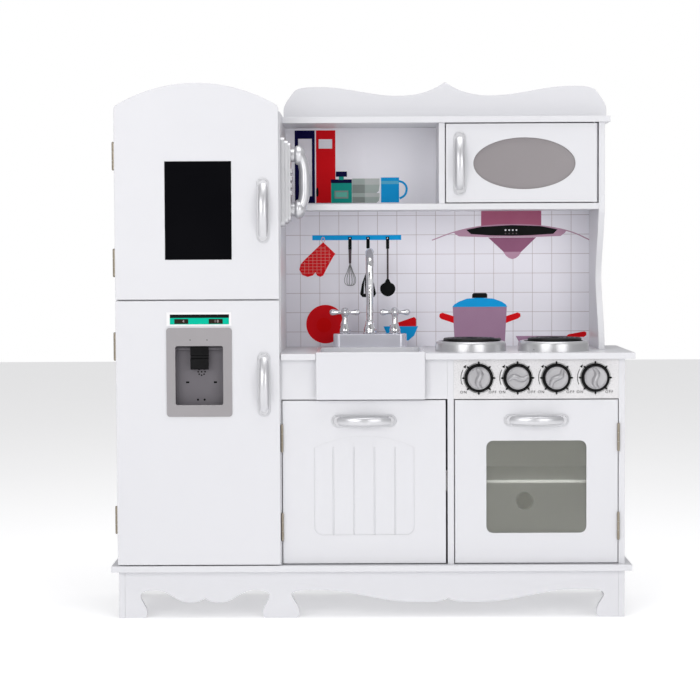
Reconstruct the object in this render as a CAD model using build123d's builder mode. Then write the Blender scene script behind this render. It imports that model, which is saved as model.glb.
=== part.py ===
"""Toy kitchen in painted MDF: fridge column, sink and oven cabinet, and a hutch with a microwave. Millimetres, +Z up,
front towards -Y, origin at the bottom centre of the whole."""

import os

from build123d import *

os.makedirs("parts", exist_ok=True)

# Boards and the sizes that drive the rest
board_t = 12.0
back_t = 4.0
ease = 0.8
plinth_w = 1000.0
plinth_d = 300.0
foot_h = 91.0
side_inset = 13.0
worktop_over = 5.0
handle_reach = 24.0
fridge_setback = 2.0
fridge_w = 315.5
fridge_h = 869.0
fridge_split = 510.5
sink_bay_w = 318.5
door_stack_h = 318.5
fascia_h = 76.5
hutch_inset = 26.0
hutch_setback = 126.0
hutch_shelf_h = 276.0
hutch_bay_h = 158.0
open_bay_w = 307.0
top_over = 10.0
crest_h = 72.0

# Gaps between a door or front and what is round it
door_gap = 2.0
hinge_gap = 1.5
free_gap = 4.0
overlay_gap = 1.0
lift_gap = 0.5
pin_fit = 0.05

# Positions that follow
overall_w = plinth_w + worktop_over
overall_d = plinth_d + handle_reach - fridge_setback
x_left = -overall_w / 2
y_plinth = -overall_d / 2 + handle_reach - fridge_setback
y_back = overall_d / 2
y_rear = y_back - back_t
z_floor = foot_h + board_t
fridge_x0 = x_left + side_inset
fridge_x1 = fridge_x0 + fridge_w
cab_x1 = x_left + plinth_w - side_inset
cab_in = cab_x1 - board_t
divider_x0 = fridge_x1 + sink_bay_w
divider_x1 = divider_x0 + board_t
y_fridge_front = y_plinth + fridge_setback
y_carcass = y_fridge_front + board_t + overlay_gap
z_fascia = z_floor + door_stack_h
z_under = z_fascia + fascia_h
z_top = z_under + board_t
hutch_x1 = cab_x1 - hutch_inset
hutch_in = hutch_x1 - board_t
hutch_div_x0 = fridge_x1 + open_bay_w
hutch_div_x1 = hutch_div_x0 + board_t
y_hutch = y_plinth + hutch_setback
z_shelf = z_top + hutch_shelf_h
z_shelf_top = z_shelf + board_t
z_hutch = z_shelf_top + hutch_bay_h
z_hutch_top = z_hutch + board_t
z_fridge = z_floor + fridge_h
z_split = z_floor + fridge_split

# Doors
door_reveal = 2.5
fridge_door_w = fridge_w - door_reveal
door_split_gap = 2.5
fridge_door_x0 = fridge_x0
fridge_door_x1 = fridge_x0 + fridge_door_w
z_door = z_floor + door_gap
door_top = z_fascia - door_gap
sink_door_x0 = fridge_x1 + hinge_gap
sink_door_x1 = divider_x0 - free_gap + 0.5
oven_door_x0 = divider_x1 + door_gap
oven_door_x1 = cab_in - hinge_gap
shoulder_rise = 10.0
arch_rise = 54.0
arch_shoulder = fridge_h + shoulder_rise
arch_apex = fridge_h + arch_rise
micro_x0 = hutch_div_x1 + door_gap
micro_x1 = hutch_in - door_gap

# Butt hinges
hinge_h = 50.0
leaf_t = 1.2
barrel_r = 2.5
hinge_pin_r = 1.2
leaf_w = 11.0
leaf_clear = 0.4
inset_leaf_off = hinge_gap / 2
overlay_leaf_off = 1.8
y_inset_axis = y_carcass - barrel_r - leaf_clear
y_overlay_axis = y_carcass - overlay_gap / 2
x_overlay_axis = fridge_x0 - overlay_leaf_off - leaf_t
x_sink_axis = fridge_x1 + inset_leaf_off
x_oven_axis = cab_in - inset_leaf_off
freezer_hinge_z = (fridge_split + 71.5, fridge_h - 83.5)
fridge_hinge_z = (88.0, fridge_split - 88.5)
cabinet_hinge_z = (73.5, door_stack_h - 74.0)


def facing(x, y, z, turn=0.0):
    """A sketch plane seen from the front: across is +X, up is +Z, and it is extruded towards the child. turn is
    anticlockwise, in degrees."""
    across = Vector(1, 0, 0).rotate(Axis.Y, -turn)
    return Plane(origin=(x, y, z), x_dir=across, z_dir=(0, -1, 0))


def sideways(x, y, z):
    """A sketch plane seen from the right: across is +Y, up is +Z, and it is extruded to the right."""
    return Plane(origin=(x, y, z), x_dir=(0, 1, 0), z_dir=(1, 0, 0))


def slab(x0, x1, y0, y1, z0, z1, mode=Mode.ADD):
    """One rectangular board between its faces."""
    with Locations(((x0 + x1) / 2, (y0 + y1) / 2, (z0 + z1) / 2)):
        Box(x1 - x0, y1 - y0, z1 - z0, mode=mode)


def save(built, name):
    built.part.label = name
    export_step(built.part, f"parts/{name}.step")


# ---------------------------------------------------------------- plinth
with BuildPart() as base_board:
    slab(x_left, x_left + plinth_w, y_plinth, y_back, foot_h, z_floor)
    fillet(base_board.edges(), ease)
save(base_board, "base_board")

apron_peak = 54.0
apron_low = 30.0
apron_cusp = 38.0
foot_waist = 35.0
foot_bulge = 14.0
mid_foot_w = 58.0
end_foot_w = 48.0
apron_x0 = fridge_x0 + board_t
apron_x1 = cab_in
mid_foot_x = fridge_x1 - 3.0


def scallop(x0, x1, peak_in, low_out):
    """One scalloped arch cut from the bottom edge of the apron, between two feet."""
    half = (x1 - x0) / 2
    low = (low_out, apron_low)
    peak = (half - peak_in, apron_peak)
    with BuildSketch(facing((x0 + x1) / 2, y_carcass, 0)) as arch:
        with BuildLine():
            Line((0, -1), (half - 2, -1))
            Line((half - 2, -1), (half - 2, 0))
            Spline(
                (half - 2, 0),
                (half - 6, foot_bulge),
                (half + 4, foot_waist),
                peak,
                tangents=((-1, 0.6), (-1, 0)),
            )
            Spline(peak, low, tangents=((-1, 0), (-1, 0)))
            Spline(low, (0, apron_cusp), tangents=((-1, 0), (-1, 0.8)))
            mirror(about=Plane.YZ)
        make_face()
    extrude(arch.sketch, amount=-board_t, mode=Mode.SUBTRACT)


with BuildPart() as base_apron:
    slab(apron_x0, apron_x1, y_carcass, y_carcass + board_t, 0, foot_h)
    scallop(apron_x0 + end_foot_w - 12.0, mid_foot_x - mid_foot_w / 2, 21.0, 28.0)
    scallop(mid_foot_x + mid_foot_w / 2, apron_x1 - end_foot_w + 12.0, 42.0, 64.0)
save(base_apron, "base_apron")

leg_arch_h = 48.0


def leg(x0):
    """A plinth board running front to back, arched underneath."""
    slab(x0, x0 + board_t, y_carcass, y_back, 0, foot_h)
    with BuildSketch(sideways(x0, (y_carcass + y_back) / 2, 0)) as arch:
        with BuildLine():
            Line((-95, 0), (95, 0))
            Spline((95, 0), (70, leg_arch_h), (0, leg_arch_h + 6), tangents=((0, 1), (-1, 0)))
            Spline((0, leg_arch_h + 6), (-70, leg_arch_h), (-95, 0), tangents=((-1, 0), (0, -1)))
        make_face()
    extrude(arch.sketch, amount=board_t, mode=Mode.SUBTRACT)


with BuildPart() as base_left_leg:
    leg(fridge_x0)
save(base_left_leg, "base_left_leg")

with BuildPart() as base_right_leg:
    leg(cab_in)
save(base_right_leg, "base_right_leg")

rail_z0 = 45.0
with BuildPart() as base_back_rail:
    slab(apron_x0, apron_x1, y_back - board_t, y_back, rail_z0, foot_h)
save(base_back_rail, "base_back_rail")

# ---------------------------------------------------------------- fridge column
fridge_in0 = fridge_x0 + board_t
fridge_in1 = fridge_x1 - board_t
z_mid0 = z_split - board_t / 2
z_mid1 = z_split + board_t / 2

with BuildPart() as fridge_left_side:
    slab(fridge_x0, fridge_in0, y_carcass, y_rear, z_floor, z_fridge)
    fillet(fridge_left_side.edges().filter_by(Axis.Z), ease)
save(fridge_left_side, "fridge_left_side")

with BuildPart() as fridge_right_side:
    slab(fridge_in1, fridge_x1, y_carcass, y_rear, z_floor, z_fridge)
    fillet(fridge_right_side.edges().filter_by(Axis.Z), ease)
    for z in cabinet_hinge_z:
        slab(
            fridge_x1 - leaf_t,
            fridge_x1,
            y_carcass,
            y_inset_axis + barrel_r + leaf_clear + leaf_w,
            z_floor + z - hinge_h / 2,
            z_floor + z + hinge_h / 2,
            mode=Mode.SUBTRACT,
        )
save(fridge_right_side, "fridge_right_side")

with BuildPart() as fridge_top_board:
    slab(fridge_in0, fridge_in1, y_carcass, y_rear, z_fridge - board_t, z_fridge)
save(fridge_top_board, "fridge_top_board")

with BuildPart() as fridge_mid_board:
    slab(fridge_in0, fridge_in1, y_carcass, y_rear, z_mid0, z_mid1)
save(fridge_mid_board, "fridge_mid_board")

shelf_t = 6.0
fridge_shelf_z = 205.0
fridge_shelf_setback = 34.0
with BuildPart() as fridge_shelf:
    z = z_floor + fridge_shelf_z
    slab(fridge_in0, fridge_in1, y_carcass + fridge_shelf_setback, y_rear, z, z + shelf_t)
save(fridge_shelf, "fridge_shelf")

with BuildPart() as fridge_back:
    slab(fridge_x0, fridge_x1, y_rear, y_back, z_floor, z_fridge)
save(fridge_back, "fridge_back")

# ---------------------------------------------------------------- fridge and freezer doors
fridge_cx = (fridge_door_x0 + fridge_door_x1) / 2
panel_cx = fridge_cx + 3.0
chalk_w = 127.0
chalk_h = 187.0
chalk_t = 2.0
chalk_proud = 0.3
chalk_z = fridge_split + 170.5
shoulder_r = 10.0

with BuildPart() as freezer_door:
    half = fridge_door_w / 2
    base = z_mid0 + board_t / 2 + door_split_gap / 2
    with BuildSketch(facing(fridge_cx, y_fridge_front, 0)) as arched:
        with BuildLine():
            Line((-half, base), (half, base))
            Line((half, base), (half, z_floor + arch_shoulder))
            ThreePointArc(
                (half, z_floor + arch_shoulder),
                (0, z_floor + arch_apex),
                (-half, z_floor + arch_shoulder),
            )
            Line((-half, z_floor + arch_shoulder), (-half, base))
        make_face()
        fillet(arched.vertices().sort_by(Axis.Y)[-2:], shoulder_r)
    extrude(amount=-board_t)
    fillet(freezer_door.faces().sort_by(Axis.Y)[0].edges(), ease * 1.5)
    with BuildSketch(facing(panel_cx, y_fridge_front, z_floor + chalk_z)):
        Rectangle(chalk_w, chalk_h)
    extrude(amount=chalk_proud - chalk_t, mode=Mode.SUBTRACT)
save(freezer_door, "freezer_door")

with BuildPart() as chalkboard:
    with BuildSketch(facing(panel_cx, y_fridge_front + chalk_t - chalk_proud, z_floor + chalk_z)):
        Rectangle(chalk_w, chalk_h)
    extrude(amount=chalk_t)
save(chalkboard, "chalkboard")

disp_w = 125.0
disp_h = 170.0
disp_z = fridge_split - 138.0
disp_plate_t = 2.0
disp_r = 6.0
recess_w = 91.5
recess_h = 113.0
recess_z = disp_z - 6.0
recess_d = 26.0
recess_r = 4.0
tub_t = 2.4
tub_gap = 0.6

with BuildPart() as fridge_door:
    top = z_split - door_split_gap / 2
    slab(fridge_door_x0, fridge_door_x1, y_fridge_front, y_fridge_front + board_t, z_door, top)
    fillet(fridge_door.faces().sort_by(Axis.Y)[0].edges(), ease * 1.5)
    with BuildSketch(facing(panel_cx, y_fridge_front, z_floor + recess_z)):
        RectangleRounded(
            recess_w + 2 * (tub_t + tub_gap), recess_h + 2 * (tub_t + tub_gap), recess_r + tub_t
        )
    extrude(amount=-board_t, mode=Mode.SUBTRACT)
save(fridge_door, "fridge_door")

y_plate = y_fridge_front - disp_plate_t
lever_pin_r = 1.5
lever_pin_z = z_floor + recess_z + recess_h / 2 - 6.0
lever_pin_y = y_plate + 14.0

with BuildPart() as dispenser_housing:
    with BuildSketch(facing(panel_cx, y_fridge_front, z_floor + disp_z)):
        RectangleRounded(disp_w, disp_h, disp_r)
    extrude(amount=disp_plate_t)
    with BuildSketch(facing(panel_cx, y_fridge_front, z_floor + recess_z)):
        RectangleRounded(recess_w + 2 * tub_t, recess_h + 2 * tub_t, recess_r + tub_t)
    extrude(amount=-(recess_d - disp_plate_t + tub_t))
    with BuildSketch(facing(panel_cx, y_plate, z_floor + recess_z)):
        RectangleRounded(recess_w, recess_h, recess_r)
    extrude(amount=-recess_d, mode=Mode.SUBTRACT)
    with Locations(Location((panel_cx, lever_pin_y, lever_pin_z), (0, 90, 0))):
        Cylinder(lever_pin_r, recess_w + 2)
save(dispenser_housing, "dispenser_housing")

lever_w = 35.0
lever_h = 44.0
lever_t = 4.0
with BuildPart() as dispenser_lever:
    with Locations(Location((panel_cx, lever_pin_y, lever_pin_z), (0, 90, 0))):
        Cylinder(4.0, lever_w)
    slab(
        panel_cx - lever_w / 2,
        panel_cx + lever_w / 2,
        lever_pin_y - lever_t,
        lever_pin_y,
        lever_pin_z - lever_h + 4.0,
        lever_pin_z,
    )
    ridge_z = lever_pin_z - lever_h / 2
    slab(panel_cx - 4, panel_cx + 4, lever_pin_y - 7.0, lever_pin_y - lever_t, ridge_z - 14, ridge_z + 14)
    with Locations(Location((panel_cx, lever_pin_y, lever_pin_z), (0, 90, 0))):
        Hole(lever_pin_r + pin_fit)
save(dispenser_lever, "dispenser_lever")

label_h = 26.0
label_t = 0.8
with BuildPart() as dispenser_label:
    with BuildSketch(facing(panel_cx, y_fridge_front, z_floor + disp_z + disp_h / 2 + 4.0 + label_h / 2)):
        Rectangle(disp_w - 1.0, label_h)
    extrude(amount=label_t)
save(dispenser_label, "dispenser_label")

# ---------------------------------------------------------------- lower cabinet
with BuildPart() as cabinet_divider:
    slab(divider_x0, divider_x1, y_carcass, y_rear, z_floor, z_under)
save(cabinet_divider, "cabinet_divider")

with BuildPart() as cabinet_side:
    slab(cab_in, cab_x1, y_carcass, y_rear, z_floor, z_under)
    fillet(cabinet_side.edges().filter_by(Axis.Z), ease)
    for z in cabinet_hinge_z:
        slab(
            cab_in,
            cab_in + leaf_t,
            y_carcass,
            y_inset_axis + barrel_r + leaf_clear + leaf_w,
            z_floor + z - hinge_h / 2,
            z_floor + z + hinge_h / 2,
            mode=Mode.SUBTRACT,
        )
save(cabinet_side, "cabinet_side")

vent_r = 18.0
vent_z = 87.0
oven_cx = (divider_x1 + cab_in) / 2
with BuildPart() as cabinet_back:
    slab(fridge_x1, cab_x1, y_rear, y_back, z_floor, z_under)
    with Locations(Location((oven_cx, y_back, z_floor + vent_z), (90, 0, 0))):
        Hole(vent_r)
save(cabinet_back, "cabinet_back")

oven_shelf_z = 153.0
oven_shelf_setback = 30.0
with BuildPart() as oven_shelf:
    z = z_floor + oven_shelf_z
    slab(divider_x1, cab_in, y_carcass + oven_shelf_setback, y_rear, z, z + shelf_t)
save(oven_shelf, "oven_shelf")

# Sink: a moulded tub with an apron front, let into the worktop
sink_w = 208.0
sink_off = 11.75
sink_cx = (fridge_x1 + divider_x0) / 2 + sink_off
sink_front = y_plinth - 2.0
sink_d = 203.0
sink_lip = 3.0
sink_lap = 3.0
sink_deep = 64.0
sink_wall = 4.0
apron_drop = 88.0
y_apron_back = y_carcass - lift_gap
sink_x0 = sink_cx - sink_w / 2
sink_x1 = sink_cx + sink_w / 2
sink_back = sink_front + sink_d
tub_x0 = sink_x0 + sink_lap
tub_x1 = sink_x1 - sink_lap
tub_back = sink_back - sink_lap
z_rim = z_top + sink_lip
z_tub = z_rim - sink_deep

with BuildPart() as worktop:
    slab(fridge_x1, x_left + overall_w, y_plinth, y_back, z_under, z_top)
    fillet(worktop.faces().sort_by(Axis.Y)[0].edges(), ease)
    slab(sink_x0 - lift_gap, sink_x1 + lift_gap, y_plinth, y_carcass, z_under, z_top, mode=Mode.SUBTRACT)
    slab(
        tub_x0 - lift_gap,
        tub_x1 + lift_gap,
        y_plinth,
        tub_back + lift_gap,
        z_under,
        z_top,
        mode=Mode.SUBTRACT,
    )
save(worktop, "worktop")

with BuildPart() as sink_front_panel:
    slab(fridge_x1, divider_x0, y_carcass, y_carcass + board_t, z_fascia, z_under)
    slab(
        tub_x0 - lift_gap,
        tub_x1 + lift_gap,
        y_carcass,
        y_carcass + board_t,
        z_tub - lift_gap,
        z_under,
        mode=Mode.SUBTRACT,
    )
save(sink_front_panel, "sink_front_panel")

with BuildPart() as sink_basin:
    slab(tub_x0, tub_x1, sink_front, tub_back, z_tub, z_top)
    fillet(sink_basin.edges().filter_by(Axis.Z), 2.0)
    slab(sink_x0, sink_x1, sink_front, y_apron_back, z_rim - apron_drop - sink_lip, z_top)
    slab(sink_x0, sink_x1, sink_front, sink_back, z_top, z_rim)
    with BuildSketch(Plane.XY.offset(z_rim)):
        with Locations((sink_cx, (sink_front + sink_back) / 2)):
            RectangleRounded(sink_w - 2 * (sink_lap + sink_wall), sink_d - 2 * (sink_lap + sink_wall), 14.0)
    extrude(amount=-(sink_deep - sink_wall), mode=Mode.SUBTRACT)
    with Locations((sink_cx, (sink_front + sink_back) / 2, z_tub + sink_wall)):
        CounterSinkHole(radius=6.0, counter_sink_radius=14.0, counter_sink_angle=120)
save(sink_basin, "sink_basin")

# Control panel and its four knobs
knob_pitch = 74.4
knob_z = 40.0
knob_cx = oven_cx + 1.5
knob_shaft_r = 4.0
knob_skirt_r = 25.0
knob_cap_r = 23.0
knob_skirt_t = 4.0
knob_reach = 17.0
knob_grip_h = 7.0
knob_run = 0.4
knob_turn = (90.0, 0.0, 45.0, 90.0)
knob_xs = [knob_cx + (i - 1.5) * knob_pitch for i in range(4)]

with BuildPart() as control_panel:
    slab(divider_x1, cab_in, y_carcass, y_carcass + board_t, z_fascia, z_under)
    for x in knob_xs:
        with Locations(Location((x, y_carcass + board_t, z_fascia + knob_z), (90, 0, 0))):
            Hole(knob_shaft_r + pin_fit)
save(control_panel, "control_panel")


def knob(x, turn):
    """A knob with its skirt, shaft and the clip that holds it behind the panel."""
    seat = facing(x, y_carcass - knob_run, z_fascia + knob_z, turn)
    with BuildSketch(seat) as skirt:
        Circle(knob_skirt_r)
    extrude(skirt.sketch, amount=knob_skirt_t)
    with BuildSketch(seat.offset(knob_skirt_t)) as cap:
        Circle(knob_cap_r)
    extrude(cap.sketch, amount=knob_reach - knob_grip_h - knob_skirt_t, taper=6)
    with BuildSketch(seat.offset(knob_reach - knob_grip_h - 1.0)) as grip:
        with BuildLine():
            Spline((-18, -5), (-8, 4), (8, -4), (18, 5))
        trace(line_width=8.0)
    extrude(grip.sketch, amount=knob_grip_h + 1.0)
    with BuildSketch(seat) as shaft:
        Circle(knob_shaft_r)
    extrude(shaft.sketch, amount=-(board_t + 2 * knob_run + 1.0))
    with BuildSketch(seat.offset(-(board_t + 2 * knob_run))) as clip:
        Circle(8.0)
    extrude(clip.sketch, amount=-2.5)


for i, x in enumerate(knob_xs):
    with BuildPart() as control_knob:
        knob(x, knob_turn[i])
    save(control_knob, f"knob_{i + 1}")

# ---------------------------------------------------------------- cabinet doors
route_d = 1.5
route_w = 192.0
route_r = 16.0
route_base = 57.0
cabinet_pull_z = door_stack_h - 41.5
route_apex = cabinet_pull_z - 29.0
route_shoulder = route_apex - 22.0
bead_w = 3.0
bead_pitch = 39.5
sink_door_cx = (sink_door_x0 + sink_door_x1) / 2


with BuildPart() as sink_door:
    slab(sink_door_x0, sink_door_x1, y_carcass, y_carcass + board_t, z_door, door_top)
    fillet(sink_door.faces().sort_by(Axis.Y)[0].edges(), ease * 1.5)
    half = route_w / 2
    with BuildSketch(facing(sink_door_cx, y_carcass, z_floor)) as routed:
        with BuildLine():
            Line((-half, route_base), (half, route_base))
            Line((half, route_base), (half, route_shoulder))
            ThreePointArc((half, route_shoulder), (0, route_apex), (-half, route_shoulder))
            Line((-half, route_shoulder), (-half, route_base))
        make_face()
        fillet(routed.vertices().sort_by(Axis.Y)[:2], route_r)
    extrude(amount=-route_d, mode=Mode.SUBTRACT)
    with BuildSketch(facing(sink_door_cx, y_carcass + route_d, z_floor)):
        with Locations([((i - 1.5) * bead_pitch, (route_base + route_shoulder) / 2) for i in range(4)]):
            Rectangle(bead_w, route_shoulder - route_base)
    extrude(amount=-route_d, mode=Mode.SUBTRACT)
    for z in cabinet_hinge_z:
        slab(
            sink_door_x0,
            sink_door_x0 + leaf_t,
            y_carcass,
            y_inset_axis + barrel_r + leaf_clear + leaf_w,
            z_floor + z - hinge_h / 2,
            z_floor + z + hinge_h / 2,
            mode=Mode.SUBTRACT,
        )
save(sink_door, "sink_door")

oven_win_w = 192.0
oven_win_r = 13.0
oven_win_base = 60.0
oven_win_under = 39.0
oven_win_h = cabinet_pull_z - oven_win_under - oven_win_base
oven_win_z = oven_win_base + oven_win_h / 2
glass_t = 2.0
glass_lap = 6.0
glass_set = 4.0
glass_play = 0.2
oven_door_cx = (oven_door_x0 + oven_door_x1) / 2

with BuildPart() as oven_door:
    slab(oven_door_x0, oven_door_x1, y_carcass, y_carcass + board_t, z_door, door_top)
    fillet(oven_door.faces().sort_by(Axis.Y)[0].edges(), ease * 1.5)
    with BuildSketch(facing(oven_door_cx, y_carcass, z_floor + oven_win_z)):
        RectangleRounded(oven_win_w, oven_win_h, oven_win_r)
    extrude(amount=-board_t, mode=Mode.SUBTRACT)
    with BuildSketch(facing(oven_door_cx, y_carcass + board_t, z_floor + oven_win_z)):
        RectangleRounded(oven_win_w + 2 * glass_lap, oven_win_h + 2 * glass_lap, oven_win_r + glass_lap)
    extrude(amount=board_t - glass_set, mode=Mode.SUBTRACT)
    for z in cabinet_hinge_z:
        slab(
            oven_door_x1 - leaf_t,
            oven_door_x1,
            y_carcass,
            y_inset_axis + barrel_r + leaf_clear + leaf_w,
            z_floor + z - hinge_h / 2,
            z_floor + z + hinge_h / 2,
            mode=Mode.SUBTRACT,
        )
save(oven_door, "oven_door")

with BuildPart() as oven_window:
    with BuildSketch(facing(oven_door_cx, y_carcass + glass_set + glass_t, z_floor + oven_win_z)):
        RectangleRounded(
            oven_win_w + 2 * glass_lap - 2 * glass_play,
            oven_win_h + 2 * glass_lap - 2 * glass_play,
            oven_win_r + glass_lap - glass_play,
        )
    extrude(amount=glass_t)
save(oven_window, "oven_window")

# ---------------------------------------------------------------- hutch
wave_in = 58.0
wave_foot = 14.0
with BuildPart() as hutch_side:
    with BuildSketch(sideways(hutch_in, 0, 0)):
        with BuildLine():
            mid = (z_top + z_shelf) / 2 + 4.0
            Line((y_rear, z_top), (y_rear, z_hutch))
            Line((y_rear, z_hutch), (y_hutch, z_hutch))
            Line((y_hutch, z_hutch), (y_hutch, z_shelf))
            Spline(
                (y_hutch, z_shelf),
                (y_hutch + wave_in, mid),
                (y_hutch, z_top + wave_foot),
                tangents=((0.3, -1), (-0.3, -1)),
            )
            Line((y_hutch, z_top + wave_foot), (y_hutch, z_top))
            Line((y_hutch, z_top), (y_rear, z_top))
        make_face()
    extrude(amount=board_t)
save(hutch_side, "hutch_side")

pivot_r = 2.0
pivot_in = 6.0
pivot_len = 7.0
pivot_sunk = 8.0
micro_round = 5.0
x_pivot = micro_x1 - pivot_in
y_pivot = y_hutch + board_t / 2
micro_z0 = z_shelf_top + door_gap
micro_z1 = z_hutch - door_gap

with BuildPart() as hutch_shelf:
    slab(fridge_x1, hutch_in, y_hutch, y_rear, z_shelf, z_shelf_top)
    with Locations((x_pivot, y_pivot, z_shelf_top)):
        Hole(pivot_r, depth=pivot_sunk)
save(hutch_shelf, "hutch_shelf")

with BuildPart() as hutch_divider:
    slab(hutch_div_x0, hutch_div_x1, y_hutch, y_rear, z_shelf_top, z_hutch)
save(hutch_divider, "hutch_divider")

top_nose = 6.0
with BuildPart() as hutch_top_board:
    slab(fridge_x1, hutch_x1 + top_over, y_hutch - top_nose, y_rear, z_hutch, z_hutch_top)
    fillet(hutch_top_board.faces().sort_by(Axis.Y)[0].edges(), ease)
    with Locations(Location((x_pivot, y_pivot, z_hutch), (180, 0, 0))):
        Hole(pivot_r, depth=pivot_sunk)
save(hutch_top_board, "hutch_top_board")

with BuildPart() as microwave_pivots:
    for z0 in (z_shelf_top - pivot_sunk, z_hutch + pivot_sunk - pivot_sunk - pivot_len - door_gap):
        with Locations((x_pivot, y_pivot, z0 + (pivot_sunk + pivot_len + door_gap) / 2)):
            Cylinder(pivot_r, pivot_sunk + pivot_len + door_gap)
save(microwave_pivots, "microwave_pivots")

with BuildPart() as backsplash:
    slab(fridge_x1, hutch_x1, y_rear, y_back, z_top, z_hutch_top)
save(backsplash, "backsplash")

crest_setback = 180.0
crest_cx = (fridge_x1 + hutch_x1 + top_over) / 2
crest_half = (hutch_x1 + top_over - fridge_x1) / 2
crest_valley = crest_h - 27.0
crest_hump = crest_h - 9.0
with BuildPart() as crest_board:
    with BuildSketch(facing(crest_cx, y_plinth + crest_setback, z_hutch_top)):
        with BuildLine():
            Line((0, 0), (crest_half - 1, 0))
            Spline(
                (crest_half - 1, 0),
                (crest_half - 2.5, 24),
                (crest_half - 15, crest_valley),
                (crest_half - 71, crest_hump),
                tangents=((-0.05, 1), (-1, 0)),
            )
            Spline((crest_half - 71, crest_hump), (90, crest_valley), tangents=((-1, 0), (-1, 0)))
            Spline((90, crest_valley), (30, crest_h - 16.5), (0, crest_h), tangents=((-1, 0), (-1, 0.75)))
            mirror(about=Plane.YZ)
        make_face()
    extrude(amount=-board_t)
save(crest_board, "crest_board")

oval_w = 200.0
oval_h = 101.0
oval_cx = (micro_x0 + micro_x1) / 2 + 5.0
oval_cz = (micro_z0 + micro_z1) / 2 - 1.0
with BuildPart() as microwave_door:
    slab(micro_x0, micro_x1, y_hutch, y_hutch + board_t, micro_z0, micro_z1)
    upright = microwave_door.edges().filter_by(Axis.Z).sort_by(Axis.X)[-2:]
    fillet(upright, micro_round)
    with BuildSketch(facing(oval_cx, y_hutch, oval_cz)):
        Ellipse(oval_w / 2, oval_h / 2)
    extrude(amount=-board_t, mode=Mode.SUBTRACT)
    with BuildSketch(facing(oval_cx, y_hutch + board_t, oval_cz)):
        Ellipse(oval_w / 2 + glass_lap, oval_h / 2 + glass_lap)
    extrude(amount=board_t - glass_set, mode=Mode.SUBTRACT)
    with Locations(Location((x_pivot, y_pivot, micro_z1), (0, 0, 0))):
        Hole(pivot_r + pin_fit, depth=pivot_len + 1)
    with Locations(Location((x_pivot, y_pivot, micro_z0), (180, 0, 0))):
        Hole(pivot_r + pin_fit, depth=pivot_len + 1)
save(microwave_door, "microwave_door")

with BuildPart() as microwave_window:
    with BuildSketch(facing(oval_cx, y_hutch + glass_set + glass_t, oval_cz)):
        Ellipse(oval_w / 2 + glass_lap, oval_h / 2 + glass_lap)
    extrude(amount=glass_t)
save(microwave_window, "microwave_window")

# ---------------------------------------------------------------- butt hinges
knuckle = hinge_h / 3
run = 0.3


def hinge_half(x, y, z, side, outer, inward, offset, width=leaf_w):
    """Half a butt hinge on the upright axis x, y. side is where its leaf lies across the axis, inward the way the leaf
    runs from the axis, and outer is true for the half with the two end knuckles and the pin."""
    z0 = z - hinge_h / 2
    if outer:
        bands = [(z0, z0 + knuckle - run / 2), (z0 + 2 * knuckle + run / 2, z0 + hinge_h)]
    else:
        bands = [(z0 + knuckle + run / 2, z0 + 2 * knuckle - run / 2)]
    xs = sorted((x + side * offset, x + side * (offset + leaf_t)))
    near = y + inward * (barrel_r + leaf_clear)
    far = near + inward * width
    ys = sorted((near, far))
    slab(xs[0], xs[1], ys[0], ys[1], z0, z0 + hinge_h)
    for low, high in bands:
        necks = sorted((y, near))
        slab(xs[0], xs[1], necks[0], necks[1], low, high)
        with Locations((x, y, (low + high) / 2)):
            Cylinder(barrel_r, high - low)
    with Locations((x, y, z)):
        Cylinder(hinge_pin_r + pin_fit, hinge_h + 2, mode=Mode.SUBTRACT)
    if outer:
        with Locations((x, y, z)):
            Cylinder(hinge_pin_r, hinge_h)
        for low, high in bands:
            with Locations((x, y, (low + high) / 2)):
                Cylinder(hinge_pin_r + pin_fit, high - low)


with BuildPart() as hinge_leaves_fixed:
    for z in freezer_hinge_z + fridge_hinge_z:
        hinge_half(x_overlay_axis, y_overlay_axis, z_floor + z, 1, True, 1, overlay_leaf_off)
    for z in cabinet_hinge_z:
        hinge_half(x_sink_axis, y_inset_axis, z_floor + z, -1, True, 1, inset_leaf_off)
        hinge_half(x_oven_axis, y_inset_axis, z_floor + z, 1, True, 1, inset_leaf_off)
save(hinge_leaves_fixed, "hinge_leaves_fixed")

edge_leaf_w = board_t - barrel_r - leaf_clear - 1.0
with BuildPart() as freezer_hinge_leaves:
    for z in freezer_hinge_z:
        hinge_half(x_overlay_axis, y_overlay_axis, z_floor + z, 1, False, -1, overlay_leaf_off, edge_leaf_w)
save(freezer_hinge_leaves, "freezer_hinge_leaves")

with BuildPart() as fridge_hinge_leaves:
    for z in fridge_hinge_z:
        hinge_half(x_overlay_axis, y_overlay_axis, z_floor + z, 1, False, -1, overlay_leaf_off, edge_leaf_w)
save(fridge_hinge_leaves, "fridge_hinge_leaves")

with BuildPart() as sink_hinge_leaves:
    for z in cabinet_hinge_z:
        hinge_half(x_sink_axis, y_inset_axis, z_floor + z, 1, False, 1, inset_leaf_off)
save(sink_hinge_leaves, "sink_hinge_leaves")

with BuildPart() as oven_hinge_leaves:
    for z in cabinet_hinge_z:
        hinge_half(x_oven_axis, y_inset_axis, z_floor + z, -1, False, 1, inset_leaf_off)
save(oven_hinge_leaves, "oven_hinge_leaves")

# ---------------------------------------------------------------- pull handles
pull_len = 124.0
pull_w = 24.0
pull_plate_t = 3.0
pull_bow_w = 12.0
pull_bow_t = 5.0


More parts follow.
